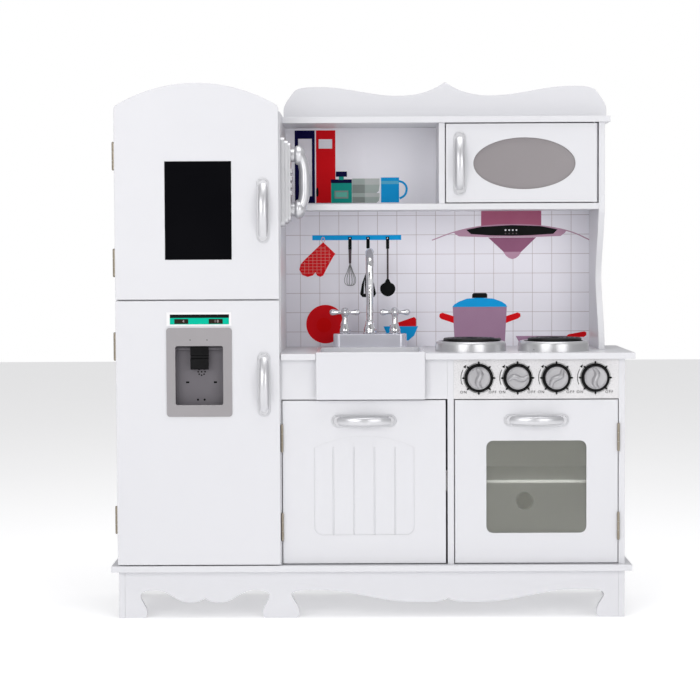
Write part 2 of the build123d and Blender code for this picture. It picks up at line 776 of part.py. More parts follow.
def pull(x, y, z, upright):
    """A moulded pull: a flat plate with round ends and a bow standing off it."""
    seat = facing(x, y, z, 90.0 if upright else 0.0)
    with BuildSketch(seat) as plate:
        SlotOverall(pull_len, pull_w)
    extrude(plate.sketch, amount=pull_plate_t)
    edge = Plane(origin=seat.origin, x_dir=seat.x_dir, z_dir=-seat.y_dir)
    half = pull_len / 2
    with BuildSketch(edge) as bow:
        with BuildLine():
            ThreePointArc((-half + 5, pull_plate_t - 1), (0, handle_reach), (half - 5, pull_plate_t - 1))
            Line((half - 5, pull_plate_t - 1), (half - 17, pull_plate_t - 1))
            ThreePointArc(
                (half - 17, pull_plate_t - 1), (0, handle_reach - pull_bow_t), (-half + 17, pull_plate_t - 1)
            )
            Line((-half + 17, pull_plate_t - 1), (-half + 5, pull_plate_t - 1))
        make_face()
    extrude(bow.sketch, amount=pull_bow_w / 2, both=True)


fridge_pull_x = fridge_door_x1 - 30.0
with BuildPart() as freezer_handle:
    pull(fridge_pull_x, y_fridge_front, z_floor + fridge_split + 170.0, True)
save(freezer_handle, "freezer_handle")

with BuildPart() as fridge_handle:
    pull(fridge_pull_x, y_fridge_front, z_floor + fridge_split - 161.5, True)
save(fridge_handle, "fridge_handle")

with BuildPart() as sink_handle:
    pull(sink_door_cx, y_carcass, z_floor + cabinet_pull_z, False)
save(sink_handle, "sink_handle")

with BuildPart() as oven_handle:
    pull(oven_door_cx, y_carcass, z_floor + cabinet_pull_z, False)
save(oven_handle, "oven_handle")

with BuildPart() as microwave_handle:
    pull(micro_x0 + 27.0, y_hutch, oval_cz, True)
save(microwave_handle, "microwave_handle")

# ---------------------------------------------------------------- magnet catches, one behind the free edge of each door
catch_h = 40.0
catch_w = 12.0
catch_d = 14.0
catch_gap = 0.5


def catch(x0, y, z):
    slab(x0, x0 + catch_w, y + catch_gap, y + catch_gap + catch_d, z - catch_h / 2, z + catch_h / 2)


with BuildPart() as magnet_catches:
    for z in (chalk_z, 160.0):
        catch(fridge_in1 - catch_w, y_carcass, z_floor + z)
    catch(divider_x0 - catch_w, y_carcass + board_t, z_floor + 160.0)
    catch(divider_x1, y_carcass + board_t, z_floor + 190.0)
    catch(hutch_div_x1, y_hutch + board_t, oval_cz)
save(magnet_catches, "magnet_catches")

# ---------------------------------------------------------------- faucet
faucet_w = 148.0
faucet_d = 34.0
faucet_h = 29.0
faucet_y = y_plinth + 234.0
tap_off = 50.5
spout_r = 7.0
spout_top = 200.0
spout_reach = 74.0
nozzle_r = 6.0
stem_r = 5.0
stem_depth = 16.0

with BuildPart() as faucet_base:
    with BuildSketch(Plane.XY.offset(z_top)):
        with Locations((sink_cx, faucet_y)):
            RectangleRounded(faucet_w, faucet_d, 14.0)
    extrude(amount=faucet_h)
    chamfer(faucet_base.faces().sort_by(Axis.Z)[-1].edges(), 1.5)
    for dx in (-tap_off, 0, tap_off):
        with Locations((sink_cx + dx, faucet_y, z_top + faucet_h)):
            Hole(stem_r + pin_fit, depth=stem_depth)
save(faucet_base, "faucet_base")

foot_h2 = 22.0
with BuildPart() as faucet_spout:
    z0 = z_top + faucet_h
    rise = spout_top - faucet_h - spout_reach / 2 - spout_r
    with Locations((sink_cx, faucet_y, z0 - stem_depth / 2 + 0.5)):
        Cylinder(stem_r, stem_depth - 1)
    with Locations((sink_cx, faucet_y, z0 + run + foot_h2 / 2)):
        Cone(14.0, 7.5, foot_h2)
    with Locations((sink_cx, faucet_y, z0)):
        Cylinder(stem_r, 2.0)
    with BuildLine() as neck:
        up = Line((sink_cx, faucet_y, z0 + foot_h2), (sink_cx, faucet_y, z0 + rise))
        over = ThreePointArc(
            (sink_cx, faucet_y, z0 + rise),
            (sink_cx, faucet_y - spout_reach / 2, z0 + rise + spout_reach / 2),
            (sink_cx, faucet_y - spout_reach, z0 + rise),
        )
        Line((sink_cx, faucet_y - spout_reach, z0 + rise), (sink_cx, faucet_y - spout_reach, z0 + rise - 30))
    with BuildSketch(Plane(origin=(sink_cx, faucet_y, z0 + foot_h2), z_dir=(0, 0, 1))):
        Circle(spout_r)
    sweep(path=neck.line)
    with Locations((sink_cx, faucet_y - spout_reach, z0 + rise - 36)):
        Cylinder(nozzle_r, 18.0)
save(faucet_spout, "faucet_spout")

tap_cone_h = 18.0
tap_top = 53.0
arm_half = 31.0
short_arm_half = 22.0
arm_r = 6.5
arm_z = 43.0


def tap(x):
    """A tap: a stem turning in the faucet base, a cone, and a cross of four round arms."""
    z0 = z_top + faucet_h
    with Locations((x, faucet_y, z0 - stem_depth / 2 + 0.5)):
        Cylinder(stem_r, stem_depth - 1)
    with Locations((x, faucet_y, z0)):
        Cylinder(stem_r, 2.0)
    with Locations((x, faucet_y, z0 + run + tap_cone_h / 2)):
        Cone(12.0, 6.5, tap_cone_h)
    with Locations((x, faucet_y, z0 + tap_top / 2 + 4)):
        Cylinder(6.0, tap_top - 8)
    for half, lie in ((arm_half, (0, 90, 0)), (short_arm_half, (90, 0, 0))):
        with Locations(Location((x, faucet_y, z0 + arm_z), lie)):
            Cylinder(arm_r, 2 * half)


with BuildPart() as tap_left:
    tap(sink_cx - tap_off)
save(tap_left, "tap_left")

with BuildPart() as tap_right:
    tap(sink_cx + tap_off)
save(tap_right, "tap_right")

# ---------------------------------------------------------------- burners
burner_gap = 23.0
burner_front = 23.0
burner_wall = 9.0
burner_h = 20.0
burner_r = (hutch_in - sink_x1 - 3 * burner_gap) / 4
burner_y = y_plinth + burner_front + burner_r
burner_off = burner_r + burner_gap / 2
burner_cx = (hutch_in + sink_x1) / 2
coil_w = 6.0
coil_pitch = 12.0
coil_h = 6.0
coil_r = burner_r - burner_wall - 1.0
coil_turns = int((coil_r - 2.0) // coil_pitch) + 1

with BuildPart() as burner_rings:
    for dx in (-burner_off, burner_off):
        with BuildSketch(Plane.XY.offset(z_top)):
            with Locations((burner_cx + dx, burner_y)):
                Circle(burner_r)
        extrude(amount=burner_h)
        with BuildSketch(Plane.XY.offset(z_top + 6.0)):
            with Locations((burner_cx + dx, burner_y)):
                Circle(burner_r - burner_wall)
        extrude(amount=burner_h, mode=Mode.SUBTRACT)
save(burner_rings, "burner_rings")

with BuildPart() as burner_grates:
    for dx in (-burner_off, burner_off):
        z0 = z_top + burner_h
        for i in range(coil_turns):
            with BuildSketch(Plane.XY.offset(z0)):
                with Locations((burner_cx + dx, burner_y)):
                    Circle(coil_r - i * coil_pitch)
                    if i < coil_turns - 1:
                        Circle(coil_r - i * coil_pitch - coil_w, mode=Mode.SUBTRACT)
            extrude(amount=coil_h)
        with BuildSketch(Plane.XY.offset(z_top + 6.0)):
            with Locations(Location((burner_cx + dx, burner_y), 0)):
                for turn in (0, 60, 120):
                    Rectangle(2 * (coil_r - 1.0), 6.0, rotation=turn)
        extrude(amount=z0 - z_top - 6.0 + 1.0)
save(burner_grates, "burner_grates")

# ---------------------------------------------------------------- telephone on the side of the fridge
phone_y = y_plinth + 68.0
phone_z = z_shelf_top - z_floor + 41.0
phone_h = 172.0
phone_w = 78.0
cradle_r = 13.0
cradle_off = 52.0
cradle_x = 26.0
grip_in = 37.0
grip_out = 58.0
handset_half = 72.0
handset_w = 38.0

with BuildPart() as phone_base:
    for inset, x0, x1 in ((0, 0, 8), (6, 8, 14), (10, 14, 19)):
        with BuildSketch(sideways(fridge_x1 + x0, phone_y, z_floor + phone_z)):
            RectangleRounded(phone_w - 2 * inset, phone_h - 2 * inset, 10.0)
        extrude(amount=x1 - x0)
    with BuildSketch(sideways(fridge_x1 + 19, phone_y, z_floor + phone_z)):
        with Locations((0, cradle_off), (0, -cradle_off)):
            Circle(cradle_r)
    extrude(amount=cradle_x - 19)
    with BuildSketch(sideways(fridge_x1 + 19, phone_y, z_floor + phone_z)):
        with GridLocations(16, 14, 3, 4):
            RectangleRounded(11, 9, 2.5)
    extrude(amount=3.0)
save(phone_base, "phone_base")

cup_h = 42.0
with BuildPart() as phone_handset:
    seat = Plane(
        origin=(fridge_x1, phone_y, z_floor + phone_z), x_dir=(1, 0, 0), z_dir=(0, -1, 0)
    )
    with BuildSketch(seat):
        with BuildLine():
            Line((cradle_x, handset_half), (cradle_x, handset_half - cup_h))
            Line((cradle_x, handset_half - cup_h), (grip_in, handset_half - cup_h - 8))
            Line((grip_in, handset_half - cup_h - 8), (grip_in, 0))
            Line((grip_in, 0), (grip_out, 0))
            Spline(
                (grip_out, 0),
                (grip_out - 3, handset_half - 30),
                (cradle_x + 14, handset_half),
                tangents=((0, 1), (-1, 0)),
            )
            Line((cradle_x + 14, handset_half), (cradle_x, handset_half))
        make_face()
        mirror(about=Plane.XZ)
    extrude(amount=handset_w / 2, both=True)
save(phone_handset, "phone_handset")
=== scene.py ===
"""Looks of a painted toy kitchen: fridge column, sink and oven cabinet, hutch and toy fittings.

Metres, +Z up, doors at -Y.
"""
from math import asin, cos, pi, radians, sin

import bmesh
import bpy
from mathutils import Matrix, Vector


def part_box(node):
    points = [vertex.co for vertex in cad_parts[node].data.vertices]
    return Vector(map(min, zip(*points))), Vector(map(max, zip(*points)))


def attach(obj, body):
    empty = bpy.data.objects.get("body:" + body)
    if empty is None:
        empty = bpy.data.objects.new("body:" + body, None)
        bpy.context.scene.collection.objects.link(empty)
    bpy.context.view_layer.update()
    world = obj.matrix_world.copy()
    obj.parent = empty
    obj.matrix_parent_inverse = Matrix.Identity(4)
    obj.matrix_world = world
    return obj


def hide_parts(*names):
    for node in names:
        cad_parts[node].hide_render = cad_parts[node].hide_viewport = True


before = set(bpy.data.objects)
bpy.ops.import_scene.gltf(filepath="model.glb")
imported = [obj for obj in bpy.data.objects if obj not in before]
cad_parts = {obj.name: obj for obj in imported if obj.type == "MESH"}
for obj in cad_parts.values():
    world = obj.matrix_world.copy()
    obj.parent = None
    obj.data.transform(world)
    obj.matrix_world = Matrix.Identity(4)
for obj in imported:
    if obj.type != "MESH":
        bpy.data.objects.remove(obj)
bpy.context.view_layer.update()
link = bpy.context.scene.collection.objects.link

# ---------------------------------------------------------------- studio
# A plain pale floor and an even white surround, a little darker near the horizon and with one dark patch
# behind the camera, so that the plated parts have something to mirror. Two soft lamps stand in front, the
# stronger on the left, and one hangs above.
camera_data = bpy.data.cameras.new("camera")
camera_data.lens = 104.6
camera_data.sensor_width = 36.0
camera_data.clip_end = 60.0
camera = bpy.data.objects.new("camera", camera_data)
link(camera)
camera.matrix_world = (
    Matrix.Translation((-0.01572, -4.01432, 0.70733))
    @ Matrix.Rotation(radians(0.387), 4, "Z")
    @ Matrix.Rotation(radians(90 - 2.809), 4, "X")
    @ Matrix.Rotation(radians(-0.262), 4, "Z")
)
bpy.context.scene.camera = camera
bpy.context.scene.view_settings.view_transform = "Standard"


def add_node(tree, kind, values=None, **settings):
    """Adds a shader node. A value is set on the input of that name or number, and a socket is joined to it."""
    made = tree.nodes.new("ShaderNode" + kind)
    for key, value in settings.items():
        setattr(made, key, value)
    for key, value in (values or {}).items():
        if isinstance(value, bpy.types.NodeSocket):
            tree.links.new(value, made.inputs[key])
        else:
            made.inputs[key].default_value = value
    return made


world = bpy.data.worlds.new("white_surround")
bpy.context.scene.world = world
world.use_nodes = True
air = world.node_tree
air.nodes.clear()
around = add_node(air, "TexCoord").outputs["Generated"]
height = add_node(air, "SeparateXYZ", {"Vector": around}).outputs["Z"]
sky_ramp = add_node(air, "ValToRGB", {"Fac": height})
sky_ramp.color_ramp.elements[0].color = (0.80, 0.80, 0.82, 1)
sky_ramp.color_ramp.elements[1].color = (1.0, 1.0, 1.0, 1)
for place, level in ((0.08, 0.50), (0.20, 0.76), (0.42, 1.0)):
    stop = sky_ramp.color_ramp.elements.new(place)
    stop.color = (level, level, level * 1.02, 1)
toward_front = add_node(air, "VectorMath", {0: around, 1: (0.0, -0.995, 0.10)}, operation="DOT_PRODUCT")
front_patch = add_node(air, "MapRange", {
    "Value": toward_front.outputs["Value"], "From Min": 0.82, "From Max": 0.93, "To Min": 0.0, "To Max": 0.85,
})
patched = add_node(air, "Mix", {
    "Factor": front_patch.outputs["Result"], "A": sky_ramp.outputs["Color"], "B": (0.055, 0.045, 0.040, 1),
}, data_type="RGBA")
lighting = add_node(air, "Background", {"Color": patched.outputs["Result"], "Strength": 0.52})
backdrop = add_node(air, "Background", {"Color": (1, 1, 1, 1), "Strength": 1.0})
sky = add_node(air, "MixShader", {
    "Fac": add_node(air, "LightPath").outputs["Is Camera Ray"],
    1: lighting.outputs["Background"],
    2: backdrop.outputs["Background"],
})
add_node(air, "OutputWorld", {"Surface": sky.outputs["Shader"]})

for name, place, size, power in (
    ("soft_lamp_left", (-1.6, -3.5, 1.6), 2.2, 48.0),
    ("soft_lamp_right", (1.7, -3.4, 1.3), 2.0, 33.0),
    ("soft_lamp_above", (0.2, -0.4, 3.2), 2.4, 38.0),
):
    lamp_data = bpy.data.lights.new(name, "AREA")
    lamp_data.size = size
    lamp_data.energy = power
    lamp = bpy.data.objects.new(name, lamp_data)
    link(lamp)
    aim = Vector((0.0, 0.0, 0.8)) - Vector(place)
    lamp.matrix_world = Matrix.Translation(place) @ aim.to_track_quat("-Z", "Y").to_matrix().to_4x4()


def finish(
    name, colour, shade, rough, rough_play, grain, grain_depth,
    cloud=5.0, metal=0.0, worn=None, worn_width=0.001, shine=0.5,
):
    """A finish with cloudy colour, uneven gloss, a fine bump and, if worn is a colour, rubbed edges."""
    material = bpy.data.materials.new(name)
    material.use_nodes = True
    tree = material.node_tree
    shader = tree.nodes["Principled BSDF"]
    shader.inputs["Metallic"].default_value = metal
    shader.inputs["Specular IOR Level"].default_value = shine
    here = add_node(tree, "TexCoord").outputs["Object"]

    def noise(scale, detail):
        return add_node(tree, "TexNoise", {"Vector": here, "Scale": scale, "Detail": detail}).outputs["Fac"]

    tone_range = add_node(tree, "MapRange", {"Value": noise(cloud, 4.0), "From Min": 0.2, "From Max": 0.8})
    tone = add_node(tree, "Mix", {
        "Factor": tone_range.outputs["Result"], "A": (*colour, 1), "B": (*shade, 1),
    }, data_type="RGBA", name="tone")
    last = tone.outputs["Result"]
    if worn:
        soft = add_node(tree, "Bevel", {"Radius": worn_width}, samples=4)
        flat = add_node(tree, "NewGeometry")
        bend = add_node(tree, "VectorMath", {
            0: soft.outputs["Normal"], 1: flat.outputs["Normal"],
        }, operation="DOT_PRODUCT")
        edge = add_node(tree, "MapRange", {"Value": bend.outputs["Value"], "From Min": 0.995, "From Max": 0.90})
        rub = add_node(tree, "Math", {0: edge.outputs["Result"], 1: noise(45.0, 3.0)}, operation="MULTIPLY")
        chip = add_node(tree, "Mix", {
            "Factor": rub.outputs["Value"], "A": last, "B": (*worn, 1),
        }, data_type="RGBA")
        last = chip.outputs["Result"]
    gloss = add_node(tree, "MapRange", {
        "Value": noise(cloud * 4.0, 5.0), "From Min": 0.2, "From Max": 0.8,
        "To Min": rough - rough_play, "To Max": rough + rough_play,
    })
    bump = add_node(tree, "Bump", {"Height": noise(grain, 3.0), "Strength": 0.5, "Distance": grain_depth})
    tree.links.new(last, shader.inputs["Base Color"])
    tree.links.new(gloss.outputs["Result"], shader.inputs["Roughness"])
    tree.links.new(bump.outputs["Normal"], shader.inputs["Normal"])
    return material


floor_mesh = bpy.data.meshes.new("studio_floor")
bm = bmesh.new()
bmesh.ops.create_grid(bm, x_segments=2, y_segments=2, size=9.0)
bm.to_mesh(floor_mesh)
bm.free()
floor = bpy.data.objects.new("studio_floor", floor_mesh)
link(floor)
pale_floor = finish(
    "pale_floor", (0.93, 0.93, 0.935), (0.915, 0.915, 0.92), 0.7, 0.05, 300, 0.0001, cloud=1.5, shine=0.1,
)
floor_shader = pale_floor.node_tree.nodes["Principled BSDF"]
floor_shader.inputs["Emission Color"].default_value = (1, 1, 1, 1)
floor_shader.inputs["Emission Strength"].default_value = 0.30
floor_mesh.materials.append(pale_floor)


# ---------------------------------------------------------------- plinth
# The stand is sprayed 12 mm fibreboard: a base board on two side legs, with a scalloped apron in front and a
# rail behind, held by dowels and cam screws. The spray leaves a fine orange-peel skin and eased arrises.
def close_up(name, bm, materials, body, replaced=(), crease=50):
    """Makes a finished mesh a piece: smooth with crisp creases, in its materials, riding on its body."""
    mesh = bpy.data.meshes.new(name)
    bm.to_mesh(mesh)
    bm.free()
    piece = bpy.data.objects.new(name, mesh)
    link(piece)
    for material in materials:
        mesh.materials.append(material)
    mesh.shade_smooth()
    mesh.set_sharp_from_angle(angle=radians(crease))
    level = piece.modifiers.new("level_faces", "WEIGHTED_NORMAL")
    level.keep_sharp = True
    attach(piece, body)
    if replaced:
        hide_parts(*replaced)
    return piece


def round_edges(bm, edges, width, segments):
    """Rounds the given edges."""
    bmesh.ops.bevel(
        bm, geom=edges, offset=width, offset_type="OFFSET", segments=segments, profile=0.5, affect="EDGES",
        clamp_overlap=True, material=-1,
    )


def ease(bm, width, angle=40, segments=2):
    """Rounds every edge that is sharper than the angle."""
    sharp = [e for e in bm.edges if len(e.link_faces) == 2 and e.calc_face_angle(0.0) > radians(angle)]
    round_edges(bm, sharp, width, segments)


def merged(node):
    """The merged mesh of a frame part, with its flat faces whole again."""
    bm = bmesh.new()
    bm.from_mesh(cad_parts[node].data)
    bmesh.ops.remove_doubles(bm, verts=bm.verts, dist=0.000002)
    bmesh.ops.dissolve_limit(bm, angle_limit=radians(0.5), verts=bm.verts, edges=bm.edges)
    return bm


def board(node, body, width=0.0007):
    """A painted board: the frame's own part with its edges eased."""
    bm = merged(node)
    ease(bm, width)
    return close_up(f"painted_{node}", bm, [white_paint], body, [node])


white_paint = finish(
    "white_spray_paint", (0.66, 0.66, 0.685), (0.648, 0.648, 0.675), 0.34, 0.07, 420, 0.00006, cloud=3.0,
    worn=(0.58, 0.575, 0.58), worn_width=0.0012,
)
for node in ("base_board", "base_apron", "base_left_leg", "base_right_leg", "base_back_rail"):
    board(node, "carcass")

# ---------------------------------------------------------------- fridge column
# A tall box of the same board: two sides, a top, a board between freezer and fridge, a loose-laid shelf on
# pegs, and a 4 mm hardboard back slid in from behind.
for node in (
    "fridge_left_side", "fridge_right_side", "fridge_top_board", "fridge_mid_board", "fridge_shelf",
    "fridge_back",
):
    board(node, "carcass", 0.0005)

# ---------------------------------------------------------------- sink and oven cabinet
# The low cabinet shares the fridge's side. A divider parts the cupboard from the oven, which has one shelf
# and a vent hole in its back. The fascia under the worktop hides the basin.
for node in ("cabinet_divider", "cabinet_side", "cabinet_back", "sink_front_panel", "oven_shelf"):
    board(node, "carcass", 0.0005)

# ---------------------------------------------------------------- vent hole shade
# A thin dark brown disc with a raised middle, set in the vent hole in the oven's back: painted shade, a dark piece
# standing in for the dark of the open hole.
def facing_front(x, y, z):
    """The place of something made flat that is stood up to face the front."""
    return Matrix.Translation((x, y, z)) @ Matrix.Rotation(radians(90), 4, "X")


def plug(bm, radius, depth, steps, place, top=None):
    """Adds a short round plug, which narrows to the top radius where one is given."""
    bmesh.ops.create_cone(
        bm, cap_ends=True, cap_tris=False, segments=steps, radius1=radius, radius2=top or radius, depth=depth,
        matrix=place,
    )


# The near-black brown of this disc is painted shade for the open vent hole.
vent_shade_finish = finish(
    "vent_hole_painted_shade", (0.030, 0.020, 0.016), (0.020, 0.014, 0.011), 0.45, 0.08, 500, 0.00004,
    cloud=20.0, shine=0.3,
)
vent_x, vent_z = 0.3145, 0.190
bm = bmesh.new()
for radius, depth, y in ((0.0178, 0.0024, 0.1592), (0.0140, 0.0012, 0.1576)):
    plug(bm, radius, depth, 48, facing_front(vent_x, y, vent_z))
ease(bm, 0.0004)
close_up("vent_hole_shade_disc", bm, [vent_shade_finish], "carcass", ())

# ---------------------------------------------------------------- worktop and basin
# The worktop is one board with a rounded front, cut out for a deep white moulded basin whose front shows as
# an apron. A small plated strainer sits in the basin's floor.
board("worktop", "carcass", 0.0012)
basin_white = finish(
    "basin_moulding", (0.66, 0.66, 0.69), (0.65, 0.65, 0.68), 0.22, 0.05, 180, 0.00003, cloud=4.0,
    worn=(0.62, 0.62, 0.63), worn_width=0.001,
)
bm = merged("sink_basin")
ease(bm, 0.0012, segments=3)
close_up("moulded_basin", bm, [basin_white], "basin", ["sink_basin"])


def face_out(bm):
    """Turns every face outwards."""
    bmesh.ops.recalc_face_normals(bm, faces=bm.faces)


def shift_all(bm, vec):
    """Moves the whole shape."""
    bmesh.ops.translate(bm, verts=bm.verts, vec=vec)


def turned(bm, profile, steps=48):
    """Turns a profile of (radius, height) pairs round the upright axis, as on a lathe."""
    verts = [bm.verts.new((r, 0.0, h)) for r, h in profile]
    edges = [bm.edges.new(pair) for pair in zip(verts, verts[1:])]
    bmesh.ops.spin(
        bm, geom=verts + edges, cent=(0, 0, 0), axis=(0, 0, 1), angle=2 * pi, steps=steps, use_merge=True,
        use_duplicate=False,
    )
    bmesh.ops.remove_doubles(bm, verts=bm.verts, dist=0.000001)
    face_out(bm)


chrome = finish(
    "bright_chrome", (0.80, 0.80, 0.81), (0.76, 0.76, 0.775), 0.08, 0.03, 260, 0.000003,
    cloud=14.0, metal=1.0,
)
drain_centre = Vector((-0.003, -0.0395, 0.453))
hole_ring = 0.0095
bm = bmesh.new()
turned(bm, [
    (0.0, 0.0002), (0.0155, 0.0002), (0.0165, 0.0026), (0.0200, 0.0030), (0.0212, 0.0016), (0.0216, -0.0004),
    (0.0, -0.0004),
])
for turn in range(6):
    around = turn * pi / 3
    place = Matrix.Translation((cos(around) * hole_ring, sin(around) * hole_ring, 0.0004))
    plug(bm, 0.0021, 0.0012, 16, place, top=0.0017)
shift_all(bm, drain_centre)
close_up("basin_strainer", bm, [chrome], "basin", ())

# ---------------------------------------------------------------- hutch
# A shelf unit screwed on behind: a wavy right side, the fridge as its left side, a shelf, a divider, an
# overhanging top and a scrolled crest board set up on it.
for node in ("hutch_side", "hutch_shelf", "hutch_divider", "hutch_top_board", "crest_board"):
    board(node, "carcass")

# ---------------------------------------------------------------- printed back panel
# One sheet of 4 mm hardboard closes the hutch. It is printed with grey square tiles below the shelf and is
# plain above it. Everything drawn on it is flat ink, laid in thin layers on the face of the board.
panel_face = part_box("backsplash")[0].y
tile_pitch = 0.0396
plain_above = 0.786
printed_board = finish(
    "printed_hardboard", (0.90, 0.89, 0.94), (0.885, 0.875, 0.925), 0.40, 0.06, 500, 0.00003,
    cloud=4.0, shine=0.3,
)
tree = printed_board.node_tree
here = add_node(tree, "SeparateXYZ", {"Vector": add_node(tree, "TexCoord").outputs["Object"]})
across = add_node(tree, "CombineXYZ", {"X": here.outputs["X"], "Y": here.outputs["Z"]})
shift = add_node(tree, "Mapping", {
    "Vector": across.outputs["Vector"],
    "Location": (0.174 - 0.0292 + tile_pitch * 2, -0.510 - 0.0302 + tile_pitch * 4, 0),
})
tiles = add_node(tree, "TexBrick", {
    "Vector": shift.outputs["Vector"], "Color1": (0.84, 0.825, 0.885, 1), "Color2": (0.815, 0.80, 0.855, 1),
    "Mortar": (0.47, 0.41, 0.43, 1), "Scale": 1.0, "Mortar Size": 0.00055, "Mortar Smooth": 0.25, "Bias": -0.4,
    "Brick Width": tile_pitch, "Row Height": tile_pitch,
}, offset=0.0, squash=1.0)
above = add_node(tree, "Math", {0: here.outputs["Z"], 1: plain_above}, operation="GREATER_THAN")
either = add_node(tree, "Mix", {
    "Factor": above.outputs["Value"], "A": tiles.outputs["Color"], "B": tree.nodes["tone"].outputs["Result"],
}, data_type="RGBA")
tree.links.new(either.outputs["Result"], tree.nodes["Principled BSDF"].inputs["Base Color"])
panel_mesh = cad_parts["backsplash"].data
panel_mesh.materials.clear()
panel_mesh.materials.append(printed_board)
panel_mesh.materials.append(white_paint)
for face in panel_mesh.polygons:
    face.material_index = 1 if face.normal.y > 0.5 else 0


def ink(name, colour, second=None, rough=0.35):
    """Printing ink: a flat colour that is a little uneven, as screen printing is."""
    second = second or tuple(c * 0.86 for c in colour)
    return finish(name, colour, second, rough, 0.05, 900, 0.00001, cloud=22.0, shine=0.06)


ink_film = 0.00016


def filled(rings, smooth=False):
    """A flat filled shape. Each ring is a list of (x, height) points in millimetres."""
    curve = bpy.data.curves.new("shape", "CURVE")
    curve.dimensions = "2D"
    curve.fill_mode = "BOTH"
    curve.extrude = ink_film / 2
    curve.resolution_u = 8
    for ring in rings:
        spline = curve.splines.new("BEZIER" if smooth else "POLY")
        points = spline.bezier_points if smooth else spline.points
        points.add(len(ring) - 1)
        for point, (x, z) in zip(points, ring):
            point.co = (x / 1000, z / 1000, 0) if smooth else (x / 1000, z / 1000, 0, 1)
            if smooth:
                point.handle_left_type = point.handle_right_type = "AUTO"
        spline.use_cyclic_u = True
    return curve


def tube(name, radius, around, along):
    """A curve of round section with closed ends, still without points."""
    curve = bpy.data.curves.new(name, "CURVE")
    curve.dimensions = "3D"
    curve.bevel_depth = radius
    curve.bevel_resolution = around
    curve.resolution_u = along
    curve.use_fill_caps = True
    return curve


def run_through(curve, points):
    """Leads a curve smoothly through its points, each a place and a share of the full thickness."""
    spline = curve.splines.new("BEZIER")
    spline.bezier_points.add(len(points) - 1)
    for point, (place, size) in zip(spline.bezier_points, points):
        point.co = place
        point.handle_left_type = point.handle_right_type = "AUTO"
        point.radius = size


def stroke(points, width):
    """A drawn line of the given width in millimetres."""
    curve = tube("stroke", width / 2000, 1, 6)
    run_through(curve, [((x / 1000, z / 1000, 0), 1.0) for x, z in points])
    return curve


def word(text, size, place):
    """Plain lettering centred on a point in millimetres."""
    curve = bpy.data.curves.new("word", "FONT")
    curve.body = text
    curve.size = size / 1000
    curve.space_character = 1.35
    curve.align_x = "CENTER"
    curve.align_y = "CENTER"
    curve.extrude = 0.00008
    curve.offset_x = place[0] / 1000
    curve.offset_y = place[1] / 1000
    return curve


def as_mesh(curve):
    """The mesh that a curve or a word makes."""
    holder = bpy.data.objects.new("holder", curve)
    link(holder)
    bpy.context.view_layer.update()
    mesh = bpy.data.meshes.new_from_object(holder.evaluated_get(bpy.context.evaluated_depsgraph_get()))
    bpy.data.objects.remove(holder)
    return mesh


def take_in(bm, mesh):
    """Adds a mesh to the piece being made, and drops the mesh."""
    bm.from_mesh(mesh)
    bpy.data.meshes.remove(mesh)


def artwork(name, layers, origin, face, body, first=0):
    """Lays flat curves on an upright face, each a hair in front of the last, as one printed piece."""
    bm = bmesh.new()
    inks = []
    for rank, (colour, curve) in enumerate(layers):
        mesh = as_mesh(curve)
        if curve.bevel_depth > 0:
            mesh.transform(Matrix.Diagonal((1, 1, ink_film / (2 * curve.bevel_depth), 1)))
        depth = face - 0.00002 - 0.00009 * (rank + first)
        mesh.transform(facing_front(origin[0], depth, origin[1]))
        if colour not in inks:
            inks.append(colour)
        mesh.polygons.foreach_set("material_index", [inks.index(colour)] * len(mesh.polygons))
        take_in(bm, mesh)
    bmesh.ops.remove_doubles(bm, verts=bm.verts, dist=0.000001)
    face_out(bm)
    return close_up(name, bm, inks, body, ())


def rect(x0, x1, z0, z1):
    """The corners of a rectangle."""
    return [(x0, z0), (x1, z0), (x1, z1), (x0, z1)]


def disc(cx, cz, r, r2=None, count=12):
    """Points round a circle, or round an oval where the second radius is given."""
    return [(cx + r * cos(2 * pi * i / count), cz + (r2 or r) * sin(2 * pi * i / count)) for i in range(count)]


red = ink("red_ink", (0.72, 0.006, 0.012), (0.67, 0.004, 0.009))
dark_red = ink("dark_red_ink", (0.76, 0.0, 0.001))
pale_line = ink("pale_line_ink", (0.80, 0.42, 0.38))
sky_blue = ink("blue_ink", (0.006, 0.36, 0.78), (0.008, 0.33, 0.72))
light_blue = ink("light_blue_ink", (0.12, 0.50, 0.75))
black = ink("black_ink", (0.004, 0.005, 0.005), (0.008, 0.009, 0.009))
plum_grey = ink("plum_grey_ink", (0.10, 0.075, 0.085))
wire_grey = ink("wire_grey_ink", (0.20, 0.20, 0.20))
navy = ink("navy_ink", (0.003, 0.002, 0.05))
panel_white = ink("panel_white_ink", (0.88, 0.86, 0.91))
teal = ink("teal_ink", (0.012, 0.36, 0.30))
pale_teal = ink("pale_teal_ink", (0.15, 0.56, 0.45))
sage = ink("sage_ink", (0.45, 0.52, 0.49))
dark_sage = ink("dark_sage_ink", (0.30, 0.34, 0.32))
pale_sage = ink("pale_sage_ink", (0.59, 0.62, 0.605))
rose = ink("rose_ink", (0.36, 0.095, 0.175), (0.39, 0.12, 0.20))
deep_rose = ink("deep_rose_ink", (0.30, 0.115, 0.205))
mauve = ink("mauve_ink", (0.45, 0.26, 0.36), (0.48, 0.285, 0.39))
pot_mauve = ink("pot_mauve_ink", (0.36, 0.21, 0.32), (0.38, 0.23, 0.34))

hutch_origin = (-0.174, 0.510)
shelf_origin = (-0.174, 0.798)


def panel_print(name, layers, origin=hutch_origin, first=0):
    """Prints a picture on the back panel, from a corner of the wall or of the shelf."""
    artwork(name, layers, origin, panel_face, "carcass", first)


panel_print("print_rail_blue", [(sky_blue, filled([rect(54, 236, 218, 228)]))])

